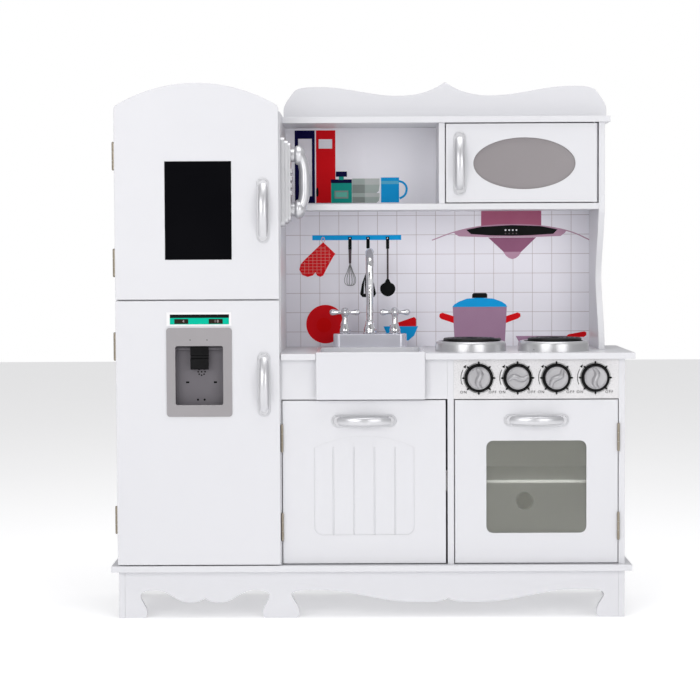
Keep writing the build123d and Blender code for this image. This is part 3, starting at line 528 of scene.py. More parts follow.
mitt = [
    (76, 214), (101, 190), (96, 183), (83, 160), (76, 146), (70, 143), (63, 146), (60, 153), (55, 146), (44, 143),
    (33, 147), (27, 158), (30, 169), (38, 178), (57, 196),
]
mitt_checks = []
for step in range(9):
    z = 151 + 6.4 * step
    west = max(29.5, 34 + (z - 176) * 1.02) if z < 182 else 41.5 + (z - 182) * 1.06
    east = 71 + (z - 151) * 0.72 if z < 186 else 97 - (z - 186) * 0.9
    if east - west > 5:
        mitt_checks.append((pale_line, stroke([(west + 1, z), (east - 2, z)], 0.6)))
for step in range(7):
    x = 38 + 8.4 * step
    low_z = 148 if x < 54 else (149 if x < 76 else 149 + (x - 76) * 1.6)
    high_z = min(211 - abs(x - 76) * 0.95, 207)
    if high_z - low_z > 6:
        mitt_checks.append((pale_line, stroke([(x, low_z + 1), (x, high_z - 1)], 0.6)))
panel_print(
    "print_oven_mitt",
    [
        (red, filled([mitt])),
        (pale_line, stroke([(76, 213), (73, 219), (76, 224), (79, 219), (77, 213)], 1.4)),
    ] + mitt_checks,
    first=1,
)

whisk = [
    (black, filled([rect(127.5, 134.5, 199, 224.5)])),
    (plum_grey, filled([[(128.6, 170), (133.4, 170), (134.2, 199), (127.8, 199)]])),
]
for spread_out in (-11.5, -6.5, -1.5, 4, 8.5, 11.5):
    whisk.append((wire_grey, stroke([
        (131, 171), (131 + spread_out * 0.45, 155), (131 + spread_out, 136), (131 + spread_out * 0.72, 127),
        (131, 124.5),
    ], 1.1)))
whisk.append((panel_white, filled([disc(131, 221.5, 1.2)], True)))
panel_print("print_whisk", whisk, first=1)

turner = [
    (black, filled([rect(164.5, 171.5, 201, 224.5)])),
    (plum_grey, filled([rect(166.3, 169.7, 150, 201)])),
    (black, filled([
        [(163, 150), (173, 150), (180, 128), (184, 108), (180, 101), (156, 101), (151.5, 107), (155, 128)],
        [(160, 139), (162.5, 108), (159, 108)], [(168, 139), (169.6, 108), (166.4, 108)],
        [(176, 139), (177, 108), (173.5, 108)],
    ])),
    (panel_white, filled([disc(168, 221.5, 1.2)], True)),
]
panel_print("print_slotted_turner", turner, first=1)

ladle = [
    (black, filled([rect(204.8, 211.4, 200, 224.5)])),
    (plum_grey, filled([rect(206.2, 210.0, 132, 200)])),
    (black, filled([[
        (206, 138), (210, 138), (214, 131), (221, 126), (223.6, 118), (221, 110), (215, 104.5), (208, 102.5),
        (201, 104.5), (195, 110), (192.4, 118), (195, 126), (202, 131),
    ]], True)),
    (panel_white, filled([disc(208, 221.5, 1.2)], True)),
]
panel_print("print_ladle", ladle, first=1)

plate_edge = [(80 + 39.5 * cos(radians(a)), 46 + 39.5 * sin(radians(a))) for a in range(28, 322, 6)]
panel_print("print_red_plate", [
    (red, filled([plate_edge + [(111, 20), (111, 44), (116, 62)]])),
    (dark_red, filled([disc(77, 44, 15)], True)),
])

panel_print("print_blue_bowl", [
    (red, filled([[(210, 42), (262, 60), (266, 56), (266, 40)]])),
    (sky_blue, filled([[(199, 41), (270, 41), (262, 22), (250, 11.5), (219, 11.5), (207, 22)]])),
])

hood_top = [
    (299, 217), (340, 232), (384, 242.5), (423, 246.8), (463, 248), (503, 246.8), (542, 242.5), (586, 232),
    (622, 216),
]
hood = [
    (rose, filled([rect(399.5, 522.5, 243, 276)])),
    (mauve, filled([
        [(343, 233), (384, 243.5), (423, 247.8), (463, 249), (503, 247.8), (542, 243.5), (574, 236), (571, 231),
         (562, 224.5), (520, 223), (405, 223), (355, 224.5), (348, 228)],
    ])),
    (mauve, stroke(hood_top, 2.2)),
    (black, filled([[
        (369, 238), (400, 244), (463, 247.2), (520, 245), (556, 238), (547, 229), (500, 226.2), (463, 225.4),
        (420, 226.2), (379, 229),
    ]])),
    (deep_rose, filled([[(414, 222), (512, 222), (480, 191), (447, 191)]])),
    (mauve, filled([[
        (445, 192.5), (481.5, 192.5), (477, 185), (471, 180), (463.5, 177.5), (456, 180), (450, 185),
    ]])),
]
for dot in range(4):
    hood.append((panel_white, filled([disc(449.5 + dot * 7.4, 237, 1.7)], True)))
    hood.append((plum_grey, filled([disc(449.5 + dot * 7.4, 230, 1.6)], True)))
panel_print("print_cooker_hood", hood)

pot = [
    (pot_mauve, filled([[(345, 6), (448, 6), (452, 81), (341, 81)]])),
    (sky_blue, filled([[
        (340.5, 80), (344, 85), (354, 91), (370, 97), (396, 99), (424, 97), (441, 91), (450, 85), (453, 80),
    ]])),
    (black, filled([[(381, 98.5), (412, 98.5), (412, 105.5), (409.5, 108.5), (384, 108.5), (381, 105.5)]])),
    (red, filled([[(343, 47), (317, 56), (313.5, 60), (314.5, 66), (320, 68.5), (343, 61)]])),
    (red, filled([[(450, 47), (475, 56), (480, 60), (479.5, 66), (474, 68.5), (451, 61)]])),
]
panel_print("print_saucepan", pot)
panel_print("print_frying_pan", [
    (pot_mauve, filled([[(470, 20), (582, 20), (574, 6), (478, 6)]])),
    (red, filled([[(572, 17), (610, 17.5), (615, 21), (615, 27), (611, 29), (578, 23)]])),
])

panel_print("print_navy_folder", [
    (navy, filled([rect(19, 60, 6, 154)])), (panel_white, filled([rect(26, 54, 20, 137)])),
    (navy, filled([rect(19, 38, 20, 80)])),
], shelf_origin)
panel_print("print_red_folder", [
    (red, filled([rect(62.5, 102, 6, 154)])), (panel_white, filled([rect(68, 95.5, 117, 136)])),
    (black, filled([disc(64.8, 28, 2.6, 9.5)], True)),
], shelf_origin)
panel_print("print_teal_jar", [
    (teal, filled([rect(93, 135.5, 6, 52)])), (navy, filled([rect(92.5, 135.5, 46.5, 54)])),
    (teal, filled([rect(109, 119, 53, 60)])), (navy, filled([rect(103, 125.5, 59.5, 70)])),
    (dark_sage, filled([rect(100, 128, 15, 31)])), (pale_teal, filled([rect(102, 126, 18, 28)])),
], shelf_origin, first=4)
stack = []
for row, (z0, z1) in enumerate(((6, 18), (18, 26), (26, 43), (43, 55.5))):
    left_ink, right_ink, bend = (dark_sage, sage, 4) if row % 2 == 0 else (sage, pale_sage, 0)
    foot = [(162, z0), (192 - bend * 1.6, z0), (192 - bend * 0.4, z0 + bend), (192, z1), (162, z1)]
    stack.append((left_ink, filled([rect(136.2, 162, z0, z1)])))
    stack.append((right_ink, filled([foot])))
panel_print("print_stacked_cups", stack, shelf_origin, first=1)
panel_print("print_blue_mug", [
    (sky_blue, filled([rect(195, 232, 6.5, 57.5)])), (light_blue, filled([rect(195, 232, 44, 50.5)])),
    (sky_blue, stroke([(231, 50), (240, 47), (246.5, 39), (247, 30), (243, 21), (233, 14.5)], 4.4)),
], shelf_origin)

# ---------------------------------------------------------------- fridge doors
# The two overlay doors are single boards, the upper one with an arched top. The upper one carries a thin
# black chalkboard panel, stuck on; the lower one is cut out for the drinks dispenser.
board("freezer_door", "freezer", 0.0006)
board("fridge_door", "fridge", 0.0006)

chalk_black = finish(
    "chalkboard_black", (0.0016, 0.0016, 0.0026), (0.0030, 0.0030, 0.0040), 0.60, 0.10, 700, 0.00003, cloud=9.0,
    worn=(0.03, 0.03, 0.03), shine=0.02,
)
bm = merged("chalkboard")
ease(bm, 0.0005)
close_up("chalkboard_panel", bm, [chalk_black], "freezer", ["chalkboard"])

# ---------------------------------------------------------------- drinks dispenser
# A grey moulded bezel clipped into the fridge door, with a deep recess, sound holes, two fixing slots and a
# pair of pips at the foot. A sprung black paddle hangs under a black spout block.
dispenser_grey = finish(
    "dispenser_grey", (0.315, 0.30, 0.31), (0.295, 0.28, 0.29), 0.38, 0.06, 520, 0.00003, cloud=10.0,
    worn=(0.40, 0.385, 0.39), shine=0.3,
)
# Faces inside the dispenser recess get this darker grey: partly darker plastic, partly painted shade where the
# recess lies in shadow.
darker_plastic_and_painted_shade = finish(
    "darker_plastic_and_painted_shade", (0.155, 0.145, 0.160), (0.135, 0.125, 0.140), 0.42, 0.06, 520, 0.00003,
    cloud=12.0, shine=0.25,
)
hole_dark = finish(
    "hole_shadow", (0.004, 0.004, 0.004), (0.006, 0.006, 0.006), 0.7, 0.05, 600, 0.00002,
    cloud=30.0, shine=0.05,
)
bm = merged("dispenser_housing")
ease(bm, 0.0009, segments=3)
housing = close_up("dispenser_bezel", bm, [dispenser_grey], "fridge", ["dispenser_housing"])
recess_wall = -0.113
speaker_x, speaker_z, speaker_ring = -0.3275, 0.4752, 0.0066
sound_r, pip_r, pip_z = 0.0016, 0.0021, 0.4215
slot_xs, slot_z, slot_reach = (-0.3545, -0.3011), 0.455, 0.0033
screw_xs, screw_y, screw_z, screw_r = (-0.3471, -0.3147), -0.139, 0.5375, 0.0011
holes = [(speaker_x, speaker_z, sound_r), (-0.3349, pip_z, pip_r), (-0.3222, pip_z, pip_r)]
for turn in range(8):
    a = turn * pi / 4
    holes.append((speaker_x + speaker_ring * cos(a), speaker_z + speaker_ring * sin(a), sound_r))
drill = bmesh.new()
for x, z, r in holes:
    plug(drill, r, 0.003, 16, facing_front(x, recess_wall, z))
for x in slot_xs:
    made = bmesh.ops.create_cube(drill, size=1.0)
    slot_size = Matrix.Diagonal((0.0062, 0.003, 0.0034, 1))
    slot_place = Matrix.Translation((x, recess_wall, slot_z))
    bmesh.ops.transform(drill, verts=made["verts"], matrix=slot_place @ slot_size)
for x in screw_xs:
    plug(drill, screw_r, 0.002, 12, facing_front(x, screw_y, screw_z))
drill_mesh = bpy.data.meshes.new("drill")
drill.to_mesh(drill_mesh)
drill.free()
drill_piece = bpy.data.objects.new("drill", drill_mesh)
link(drill_piece)
bore = housing.modifiers.new("bore", "BOOLEAN")
bore.operation = "DIFFERENCE"
bore.object = drill_piece
housing.modifiers.remove(housing.modifiers["level_faces"])
bpy.context.view_layer.update()
bored = bpy.data.meshes.new_from_object(housing.evaluated_get(bpy.context.evaluated_depsgraph_get()))
housing.modifiers.clear()
housing.data = bored
bored.materials.append(darker_plastic_and_painted_shade)
bored.materials.append(hole_dark)
recess_x, recess_z, recess_front = (-0.3765, -0.2835), (0.4120, 0.5270), -0.1375
bezel_skin = -0.1379
dark_spots = holes + [(x, slot_z, slot_reach) for x in slot_xs]
# Faces inside the recess take the darker grey, part plastic and part painted shade; faces inside the holes and
# screw bores take black painted shadow.
for face in bored.polygons:
    x, y, z = face.center
    if recess_x[0] < x < recess_x[1] and recess_z[0] < z < recess_z[1] and y > recess_front:
        face.material_index = 1
    in_hole = any(abs(x - hx) < hr and abs(z - hz) < hr for hx, hz, hr in dark_spots)
    in_screw = any(abs(x - sx) < 0.0012 and abs(z - screw_z) < 0.0012 for sx in screw_xs)
    if y > recess_wall + 0.0001 and in_hole:
        face.material_index = 2
    if y < bezel_skin and in_screw and face.area < 0.00001:
        face.material_index = 2
bpy.data.objects.remove(drill_piece)
level = housing.modifiers.new("level_faces", "WEIGHTED_NORMAL")
level.keep_sharp = True

black_plastic = finish(
    "black_moulding", (0.004, 0.004, 0.0045), (0.006, 0.006, 0.0065), 0.22, 0.06, 600, 0.00001, cloud=16.0,
    worn=(0.02, 0.02, 0.022), shine=0.12,
)
lever_low, lever_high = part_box("dispenser_lever")


def push_out(bm, vec):
    """Gives a flat shape its thickness."""
    made = bmesh.ops.extrude_face_region(bm, geom=bm.faces[:])
    bmesh.ops.translate(bm, verts=[v for v in made["geom"] if isinstance(v, bmesh.types.BMVert)], vec=vec)
    face_out(bm)


y0, y1, z0, z1 = lever_low.y, lever_high.y, lever_low.z, lever_high.z
side_outline = [
    (y1, z1), (y1, z0 + 0.004), (y0 + 0.005, z0), (y0, z0 + 0.003), (y0 + 0.0005, z0 + 0.020),
    (y0 + 0.0035, z0 + 0.0225), (y0 + 0.0035, z0 + 0.0265), (y0 + 0.001, z0 + 0.029), (y0 + 0.001, z1),
]
bm = bmesh.new()
bm.faces.new([bm.verts.new((lever_low.x, y, z)) for y, z in side_outline])
push_out(bm, (lever_high.x - lever_low.x, 0, 0))
ease(bm, 0.0008, angle=25, segments=3)
close_up("dispenser_paddle", bm, [black_plastic], "lever", ["dispenser_lever"])

# ---------------------------------------------------------------- dispenser label
# A printed plastic strip stuck above the dispenser: a black band over a teal one with two small dark
# displays that show plain numbers.
label_white = finish(
    "label_film", (0.80, 0.79, 0.80), (0.77, 0.76, 0.775), 0.25, 0.05, 400, 0.00001, cloud=18.0, shine=0.3,
)
bm = merged("dispenser_label")
ease(bm, 0.0002)
close_up("label_strip", bm, [label_white], "fridge", ["dispenser_label"])
label_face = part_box("dispenser_label")[0].y
band_teal = ink("band_teal_ink", (0.0, 0.45, 0.30), (0.0, 0.42, 0.28))
display_dark = ink("display_ink", (0.018, 0.012, 0.008), (0.026, 0.018, 0.012))
digit_grey = ink("digit_ink", (0.42, 0.36, 0.36))
artwork("label_bands", [
    (black, filled([rect(-385.5, -272.5, 579.6, 586.2)])),
    (band_teal, filled([rect(-385.5, -272.5, 567.2, 579.6)])),
    (display_dark, filled([rect(-376.9, -350.2, 568.3, 577.6), rect(-311.3, -284.5, 568.3, 577.6)])),
    (digit_grey, word("4", 7.4, (-359.5, 573.0))), (digit_grey, word("18", 7.4, (-296.5, 573.0))),
], (0, 0), label_face, "fridge")

# ---------------------------------------------------------------- cupboard, oven and microwave doors
# Three inset doors of the same board. The sink door has a routed arch with beads, the oven door a square
# window, the microwave door an oval one. Both windows are 2 mm moulded sheets let into the back.
board("sink_door", "sink_cupboard_door", 0.0004)
board("oven_door", "oven", 0.0005)
board("microwave_door", "microwave", 0.0005)


def window(name, node, body, tint, rough, clear, ior=1.45, alpha=1.0):
    """A moulded sheet that lets the given share of the light through."""
    shade = tuple(c * 0.96 for c in tint)
    glass = finish(name, tint, shade, rough, rough * 0.4, 40, 0.00002, cloud=7.0, shine=0.3)
    shader = glass.node_tree.nodes["Principled BSDF"]
    for socket, value in (("Transmission Weight", clear), ("IOR", ior), ("Alpha", alpha)):
        shader.inputs[socket].default_value = value
    bm = merged(node)
    ease(bm, 0.0002)
    close_up(name, bm, [glass], body, [node])


# The oven sheet is a real clear window; its olive tint is painted shade, copied from the shaded inside of the oven
# behind it.
window(
    "oven_window_shade_tinted", "oven_window", "oven", (0.84, 0.85, 0.76), 0.03, 0.80,
    ior=1.05, alpha=0.5,
)
# The oval sheet is a real window, but its grey colour is painted shade, standing in for the dark inside of the
# microwave seen through it.
window(
    "grey_oval_window_painted_shade", "microwave_window", "microwave", (0.41, 0.38, 0.39), 0.14, 0.35,
)

# ---------------------------------------------------------------- pulls
# Five equal pulls moulded in silvered plastic: a thin plate with round ends, a bow that stands off it, and a
# raised pad with a groove where the bow meets the plate. Each is held by two screws from inside the door.
def carry(bm, matrix):
    """Turns and moves the whole shape by a matrix."""
    bmesh.ops.transform(bm, verts=bm.verts, matrix=matrix)


def take_part(bm, part):
    """Adds a second shape to the piece being made."""
    mesh = bpy.data.meshes.new("part")
    part.to_mesh(mesh)
    part.free()
    take_in(bm, mesh)


silver = finish(
    "silvered_plastic", (0.62, 0.62, 0.64), (0.585, 0.585, 0.605), 0.32, 0.03, 700, 0.000004,
    cloud=9.0, metal=0.7,
)
pull_plate = 0.003
bow_thick, bow_half_width = 0.0072, 0.0080
for node, body, upright in (
    ("freezer_handle", "freezer", True), ("fridge_handle", "fridge", True),
    ("sink_handle", "sink_cupboard_door", False),
    ("oven_handle", "oven", False), ("microwave_handle", "microwave", True),
):
    low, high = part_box(node)
    width = min(high.x - low.x, high.z - low.z)
    length = max(high.x - low.x, high.z - low.z)
    reach = high.y - low.y
    bm = bmesh.new()
    bmesh.ops.create_circle(bm, cap_ends=True, segments=48, radius=width / 2)
    for v in bm.verts:
        v.co.x += (length - width) / 2 * (1 if v.co.x > 0.00001 else -1 if v.co.x < -0.00001 else 0)
    push_out(bm, (0, 0, pull_plate))
    rim = [e for e in bm.edges if len(e.link_faces) == 2 and all(v.co.z > pull_plate - 0.0001 for v in e.verts)]
    round_edges(bm, rim, 0.0013, 3)
    half, rise = length / 2 - 0.0065, reach - pull_plate
    radius = (half ** 2 + rise ** 2) / (2 * rise)
    sweep = 2 * asin(half / radius)
    hub = Vector((0, 0, reach - 0.0003 - radius))
    bow = bmesh.new()
    bmesh.ops.create_circle(bow, cap_ends=True, segments=20, radius=1.0)
    section = Matrix.Rotation(radians(90), 4, "Y") @ Matrix.Diagonal((bow_thick / 2, bow_half_width, 1, 1))
    carry(bow, section)
    shift_all(bow, hub + Vector((0, 0, radius - bow_thick / 2)))
    bmesh.ops.rotate(bow, verts=bow.verts, cent=hub, matrix=Matrix.Rotation(-sweep / 2, 3, "Y"))
    bmesh.ops.spin(
        bow, geom=bow.verts[:] + bow.edges[:] + bow.faces[:], cent=hub, axis=(0, 1, 0), angle=sweep, steps=40,
        use_duplicate=False,
    )
    face_out(bow)
    for end in (-1, 1):
        pad_place = Matrix.Translation((end * (length / 2 - 0.0125), 0, pull_plate + 0.0010))
        plug(bow, 0.0102, 0.0030, 32, pad_place, top=0.0088)
    take_part(bm, bow)
    centre = (low + high) / 2
    quarter = Matrix.Rotation(radians(90), 4, "X")
    if upright:
        quarter = Matrix.Rotation(radians(90), 4, "Y") @ quarter
    stand = Matrix.Translation((centre.x, high.y, centre.z)) @ quarter
    carry(bm, stand)
    ease(bm, 0.0005, angle=55)
    close_up(f"silver_{node}", bm, [silver], body, [node])

# ---------------------------------------------------------------- hinges, pivots and catches
# Small pressed butt hinges in dull nickel. The leaves and knuckles are as the frame has them; each gets its
# pin with two domed ends. The microwave turns on two steel pins, and white catches hold all the doors.
hinge_nickel = finish(
    "dull_nickel", (0.34, 0.30, 0.24), (0.25, 0.215, 0.165), 0.36, 0.08, 800, 0.000006, cloud=30.0, metal=0.8,
    worn=(0.62, 0.60, 0.56),
)
pivot_steel = finish(
    "pivot_steel", (0.52, 0.52, 0.53), (0.46, 0.46, 0.47), 0.28, 0.06, 900, 0.000005, cloud=40.0, metal=1.0,
)
catch_plastic = finish(
    "catch_plastic", (0.78, 0.77, 0.75), (0.74, 0.73, 0.71), 0.42, 0.06, 500, 0.00003, cloud=20.0,
)
for node, metal in (
    ("hinge_leaves_fixed", hinge_nickel), ("freezer_hinge_leaves", hinge_nickel),
    ("fridge_hinge_leaves", hinge_nickel),
    ("sink_hinge_leaves", hinge_nickel), ("oven_hinge_leaves", hinge_nickel), ("microwave_pivots", pivot_steel),
    ("magnet_catches", catch_plastic),
):
    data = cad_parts[node].data
    data.materials.clear()
    data.materials.append(metal)
pin_places = [(-0.4925, -0.1245, z) for z in (0.8885, 0.685, 0.525, 0.191)]
pin_places += [(x, -0.1269, z) for x in (-0.17325, 0.47175) for z in (0.1765, 0.3475)]
dome = [(0.0, 0.0248), (0.0024, 0.0248), (0.0024, 0.0256), (0.0020, 0.0266), (0.0011, 0.0272), (0.0, 0.0274)]
for number, (x, y, z) in enumerate(pin_places):
    bm = bmesh.new()
    for end in (-1, 1):
        cap = bmesh.new()
        turned(cap, dome, 20)
        if end < 0:
            carry(cap, Matrix.Diagonal((1, 1, -1, 1)))
            face_out(cap)
        take_part(bm, cap)
    shift_all(bm, (x, y, z))
    close_up(f"hinge_pin_{number + 1}", bm, [hinge_nickel], "carcass", ())

# ---------------------------------------------------------------- control panel
# The oven fascia carries a printed sheet, speckled grey on white, with a dial ring, eight marks, a turning
# arrow and the words ON and OFF round each knob hole.
speckle = finish(
    "speckled_sheet", (0.70, 0.69, 0.70), (0.68, 0.67, 0.68), 0.36, 0.06, 500, 0.00002, cloud=5.0,
    worn=(0.60, 0.60, 0.61),
)
tree = speckle.node_tree
paint = tree.nodes["Principled BSDF"].inputs["Base Color"]
specks = add_node(tree, "TexNoise", {
    "Vector": add_node(tree, "TexCoord").outputs["Object"], "Scale": 760.0, "Detail": 2.0,
})
dark = add_node(tree, "MapRange", {"Value": specks.outputs["Fac"], "From Min": 0.52, "From Max": 0.72})
dots = add_node(tree, "Mix", {
    "Factor": dark.outputs["Result"], "A": paint.links[0].from_socket, "B": (0.43, 0.42, 0.43, 1),
}, data_type="RGBA")
tree.links.new(dots.outputs["Result"], paint)
bm = merged("control_panel")
ease(bm, 0.0005)
close_up("speckled_fascia", bm, [speckle], "carcass", ["control_panel"])
panel_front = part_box("control_panel")[0].y
dial_black = ink("dial_ink", (0.006, 0.006, 0.006), (0.010, 0.010, 0.010))
dial_grey = ink("dial_grey_ink", (0.20, 0.20, 0.20), (0.24, 0.24, 0.24))


def polar(radius, degrees):
    """The point at an angle on a circle."""
    return (radius * cos(radians(degrees)), radius * sin(radians(degrees)))


knob_boxes = [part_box(f"knob_{number}") for number in (1, 2, 3, 4)]
knob_centres = [(low.x + high.x) / 2 for low, high in knob_boxes]
knob_height = (knob_boxes[0][0].z + knob_boxes[0][1].z) / 2
outer_ring = [disc(0, 0, 29.6, count=48), disc(0, 0, 28.7, count=48)]
inner_ring = [disc(0, 0, 27.9, count=48), disc(0, 0, 22.0, count=48)]
crescent = [polar(28.985, 100 + 10 * i) for i in range(17)] + [polar(27.4, 260 - 10 * i) for i in range(17)]
barb, tip = polar(34.4, 143), polar(34.4, 136)
arrow_head = [(barb[0] - 2.6, barb[1] + 0.8), (barb[0] + 2.4, barb[1] - 2.2), (tip[0] + 0.9, tip[1] + 1.8)]
for number, knob_x in enumerate(knob_centres):
    dial = [
        (dial_grey, filled(outer_ring)),
        (dial_black, filled(inner_ring)),
        (dial_grey, filled([crescent])),
        (dial_black, stroke([polar(34.2, a) for a in range(202, 143, -10)], 1.2)),
        (dial_black, filled([arrow_head])),
        (dial_black, word("ON", 7.2, (-29.6, -27.2))),
        (dial_black, word("OFF", 7.2, (26.4, -27.2))),
    ]
    for mark in range(8):
        near, far = Vector(polar(25.8, 45 * mark)), Vector(polar(32.0, 45 * mark))
        across = Vector(polar(1.0, 45 * mark + 90))
        bar = [tuple(near - across), tuple(near + across), tuple(far + across), tuple(far - across)]
        dial.append((dial_black, filled([bar])))
        dial.append((dial_black, filled([disc(*polar(29.2, 45 * mark), 1.9)], True)))
    artwork(f"dial_marks_{number + 1}", dial, (knob_x, knob_height), panel_front, "carcass")

# ---------------------------------------------------------------- knobs
# Each knob is a black moulded skirt with a silvered cap pressed over it. The cap has a raised rim and an
# S-shaped finger grip. A shaft goes through the fascia and is held by a clip behind.
cap_silver = finish(
    "knob_cap_silver", (0.44, 0.435, 0.45), (0.41, 0.405, 0.42), 0.34, 0.03, 700, 0.000004,
    cloud=12.0, metal=0.6,
)
skirt_profile = [
    (0.0, -0.0153), (0.0080, -0.0153), (0.0080, -0.0128), (0.0040, -0.0128), (0.0040, 0.0), (0.0244, 0.0),
    (0.0250, 0.0006), (0.0250, 0.0030), (0.0243, 0.0040), (0.0, 0.0040),
]
cap_profile = [
    (0.0, 0.0038), (0.0217, 0.0038), (0.0219, 0.0046), (0.0215, 0.0092), (0.0209, 0.0100), (0.0199, 0.0100),
    (0.0191, 0.0090), (0.0150, 0.0093), (0.0, 0.0095),
]
grip_line = [(-0.0190, -0.0040, 0.50), (-0.0090, 0.0024, 0.95), (0.0090, -0.0024, 0.95), (0.0190, 0.0040, 0.50)]
skirt_seat_y = -0.1244
knob_turns = (90.0, 0.0, 45.0, 90.0)
for number, knob_x in enumerate(knob_centres):
    knob, body = f"knob_{number + 1}", f"knob_{'abcd'[number]}"
    seat = facing_front(knob_x, skirt_seat_y, knob_height)
    bm = bmesh.new()
    turned(bm, skirt_profile, 64)
    carry(bm, seat)
    close_up(f"knob_skirt_{number + 1}", bm, [black_plastic], body, [knob])
    bm = bmesh.new()
    turned(bm, cap_profile, 64)
    s_line = tube("s_line", 0.0060, 4, 10)
    run_through(s_line, [((x, y, 0), size) for x, y, size in grip_line])
    grip = as_mesh(s_line)
    grip.transform(Matrix.Rotation(radians(knob_turns[number]), 4, "Z"))
    grip.transform(Matrix.Translation((0, 0, 0.0090)) @ Matrix.Diagonal((1, 1, 1.45, 1)))
    take_in(bm, grip)
    carry(bm, seat)
    face_out(bm)
    close_up(f"knob_cap_{number + 1}", bm, [cap_silver], body, (), crease=40)

# ---------------------------------------------------------------- burners
# Each burner is a silvered moulded ring, pressed into the worktop, round a dished tray, with a black coil
# that winds out from the middle and lies on three thin black bars.
ring_silver = finish(
    "burner_silver", (0.60, 0.60, 0.61), (0.56, 0.56, 0.575), 0.30, 0.03, 700, 0.000004, cloud=9.0, metal=0.7,
)
coil_black = finish(
    "coil_black", (0.004, 0.004, 0.004), (0.007, 0.0065, 0.0065), 0.40, 0.08, 900, 0.00002,
    cloud=30.0, shine=0.25,
)
ring_low, ring_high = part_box("burner_rings")
grate_low, grate_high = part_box("burner_grates")
ring_radius = (ring_high.y - ring_low.y) / 2
ring_centre_y = (ring_high.y + ring_low.y) / 2
worktop_top = ring_low.z
coil_radius = (grate_high.y - grate_low.y) / 2
r, top = ring_radius, ring_high.z - ring_low.z
ring_profile = [
    (0.0, 0.0), (r - 0.0002, 0.0), (r, 0.0008), (r - 0.0004, top - 0.0065), (r - 0.0014, top - 0.0030),
    (r - 0.0036, top - 0.0008), (r - 0.0060, top), (r - 0.0078, top - 0.0006), (r - 0.0088, top - 0.0024),
    (r - 0.0096, 0.0060), (r - 0.0200, 0.0042), (0.012, 0.0030), (0.0, 0.0030),
]
coil_turns, coil_start = 5.0, 0.0085
coil_steps = int(coil_turns * 16)
for number, ring_x in enumerate((ring_low.x + ring_radius, ring_high.x - ring_radius)):
    middle = (ring_x, ring_centre_y, worktop_top)
    bm = bmesh.new()
    turned(bm, ring_profile, 96)
    shift_all(bm, middle)
    close_up(f"burner_ring_{number + 1}", bm, [ring_silver], "carcass", ["burner_rings"])
    spiral = tube("spiral", 0.0036, 3, 4)
    spline = spiral.splines.new("NURBS")
    spline.points.add(coil_steps)
    for i, point in enumerate(spline.points):
        a = 2 * pi * coil_turns * i / coil_steps + number * 2.1
        wide = coil_start + (coil_radius - 0.0034 - coil_start) * i / coil_steps
        point.co = (wide * cos(a), wide * sin(a), 0, 1)
    spline.order_u = 3
    spline.use_endpoint_u = True
    bm = bmesh.new()
    take_in(bm, as_mesh(spiral))
    shift_all(bm, (0, 0, grate_high.z - worktop_top - 0.0038))
    bar_size = Matrix.Translation((0, 0, 0.0125)) @ Matrix.Diagonal((2 * coil_radius - 0.004, 0.005, 0.0150, 1))
    for turn in range(3):
        bar = bmesh.ops.create_cube(bm, size=1.0)
        bmesh.ops.transform(bm, verts=bar["verts"], matrix=Matrix.Rotation(turn * pi / 3, 4, "Z") @ bar_size)
    ease(bm, 0.0006, angle=60)
    shift_all(bm, middle)
    face_out(bm)
    close_up(f"burner_coil_{number + 1}", bm, [coil_black], "carcass", ["burner_grates"])

# ---------------------------------------------------------------- faucet
# A plated plastic mixer: a long chamfered base screwed down through the worktop, a goose-neck spout that
# swings, and two taps with bell-shaped feet and cross heads whose arms swell to round ends.
base_low, base_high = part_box("faucet_base")
bm = merged("faucet_base")
ease(bm, 0.0005, angle=30, segments=3)
satin_plate = finish(
    "satin_plate", (0.80, 0.80, 0.87), (0.76, 0.76, 0.83), 0.20, 0.05, 260, 0.000004, cloud=14.0, metal=0.55,
)
close_up("plated_faucet_base", bm, [satin_plate], "carcass", ["faucet_base"])
spout_low, spout_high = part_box("faucet_spout")
faucet_y = (base_low.y + base_high.y) / 2
spout_x = (spout_low.x + spout_high.x) / 2
seat_z = base_high.z
tube_r = 0.0072
bend_r = 0.037
bend_z = spout_high.z - bend_r - tube_r
bm = bmesh.new()
turned(bm, [
    (0.0, 0.0004), (0.0138, 0.0004), (0.0140, 0.0020), (0.0124, 0.0034), (0.0122, 0.0052), (0.0130, 0.0066),
    (0.0124, 0.0100), (0.0100, 0.0170), (0.0086, 0.0215), (0.0090, 0.0228), (0.0090, 0.0244), (0.0078, 0.0258),
    (0.0071, 0.0280), (0.0, 0.0280),
])
shift_all(bm, (spout_x, faucet_y, seat_z))
neck = tube("neck", tube_r, 8, 24)
spline = neck.splines.new("BEZIER")
kappa = 0.5523 * bend_r
mouth_y = faucet_y - 2 * bend_r
stations = (
    ((spout_x, faucet_y, seat_z + 0.026), (0, 0, 0.02)), ((spout_x, faucet_y, bend_z), (0, 0, kappa)),
    ((spout_x, faucet_y - bend_r, bend_z + bend_r), (0, -kappa, 0)), ((spout_x, mouth_y, bend_z), (0, 0, -kappa)),
    ((spout_x, mouth_y, bend_z - 0.028), (0, 0, -0.008)),
)
spline.bezier_points.add(len(stations) - 1)
for point, (place, lead), swell in zip(spline.bezier_points, stations, (0.96, 1.08, 1.20, 1.12, 0.98)):
    point.radius = swell
    point.handle_left_type = point.handle_right_type = "FREE"
    point.co = place
    point.handle_left = Vector(place) - Vector(lead)
    point.handle_right = Vector(place) + Vector(lead)
take_in(bm, as_mesh(neck))
nozzle = bmesh.new()
turned(nozzle, [
    (0.0, 0.0020), (0.0050, 0.0020), (0.0052, 0.0), (0.0064, 0.0), (0.0068, 0.0008), (0.0068, 0.0060),
    (0.0060, 0.0068), (0.0060, 0.0084), (0.0068, 0.0092), (0.0068, 0.0150), (0.0073, 0.0166), (0.0073, 0.0185),
    (0.0, 0.0185),
])
shift_all(nozzle, (spout_x, mouth_y, bend_z - 0.045))
take_part(bm, nozzle)
face_out(bm)
close_up("goose_neck_spout", bm, [chrome], "spout", ["faucet_spout"], crease=35)
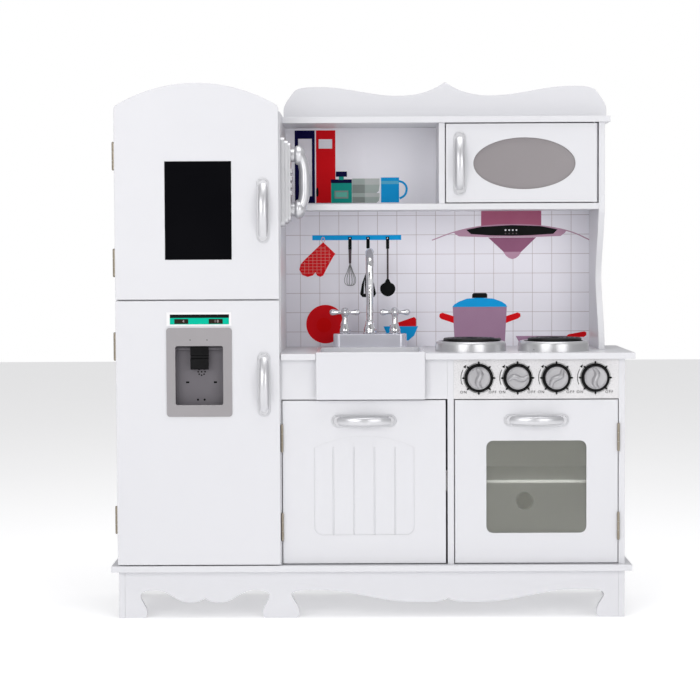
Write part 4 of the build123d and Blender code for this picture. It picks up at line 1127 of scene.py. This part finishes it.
for node, body in (("tap_left", "left_tap"), ("tap_right", "right_tap")):
    tap_low, tap_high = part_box(node)
    tap_x = (tap_low.x + tap_high.x) / 2
    bm = bmesh.new()
    turned(bm, [
        (0.0, 0.0004), (0.0118, 0.0004), (0.0120, 0.0020), (0.0106, 0.0034), (0.0112, 0.0060), (0.0108, 0.0085),
        (0.0086, 0.0150), (0.0074, 0.0190), (0.0060, 0.0215), (0.0057, 0.0330), (0.0068, 0.0355), (0.0082, 0.0390),
        (0.0082, 0.0460), (0.0070, 0.0495), (0.0044, 0.0518), (0.0, 0.0528),
    ])
    for half, turn in ((0.031, 0), (0.031, 180), (0.022, 90), (0.022, 270)):
        arm = bmesh.new()
        turned(arm, [
            (0.0, half), (0.0030, half - 0.0005), (0.0054, half - 0.0022), (0.0065, half - 0.0052),
            (0.0062, half - 0.0090), (0.0048, half - 0.0140), (0.0040, half * 0.40), (0.0042, 0.004), (0.0, 0.004),
        ], 24)
        lay_out = Matrix.Rotation(radians(turn), 4, "Z") @ Matrix.Rotation(radians(90), 4, "Y")
        carry(arm, Matrix.Translation((0, 0, 0.043)) @ lay_out)
        take_part(bm, arm)
    shift_all(bm, (tap_x, faucet_y, seat_z))
    face_out(bm)
    close_up(f"cross_{node}", bm, [chrome], body, [node], crease=45)

# ---------------------------------------------------------------- telephone
# A silvered toy telephone screwed to the side of the fridge: a stepped base with moulded keys and two
# cradle cups, and a handset with domed ends that lifts off.
bm = merged("phone_base")
ease(bm, 0.0012, angle=35, segments=3)
close_up("telephone_base", bm, [silver], "carcass", ["phone_base"])
hand_low, hand_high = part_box("phone_handset")
hand_y = (hand_low.y + hand_high.y) / 2
hand_z = (hand_low.z + hand_high.z) / 2
bow = tube("bow", 0.0105, 6, 16)
run_through(bow, [
    ((0.0100, 0, -0.052), 1.0), ((0.0165, 0, -0.036), 0.98), ((0.0198, 0, 0.0), 1.10), ((0.0165, 0, 0.036), 0.98),
    ((0.0100, 0, 0.052), 1.0),
])
bow_mesh = as_mesh(bow)
bow_mesh.transform(Matrix.Diagonal((1, 1.45, 1, 1)))
bm = bmesh.new()
take_in(bm, bow_mesh)
for end in (-1, 1):
    cup = bmesh.new()
    turned(cup, [
        (0.0, 0.0), (0.0135, 0.0), (0.0150, 0.0008), (0.0178, 0.0030), (0.0188, 0.0062), (0.0180, 0.0105),
        (0.0158, 0.0150), (0.0120, 0.0185), (0.0070, 0.0205), (0.0, 0.0212),
    ], 40)
    cup_place = Matrix.Translation((0, 0, end * 0.052)) @ Matrix.Rotation(radians(90), 4, "Y")
    carry(cup, cup_place)
    take_part(bm, cup)
shift_all(bm, (hand_low.x + 0.0002, hand_y, hand_z))
face_out(bm)
close_up("telephone_handset", bm, [silver], "handset", ["phone_handset"], crease=40)
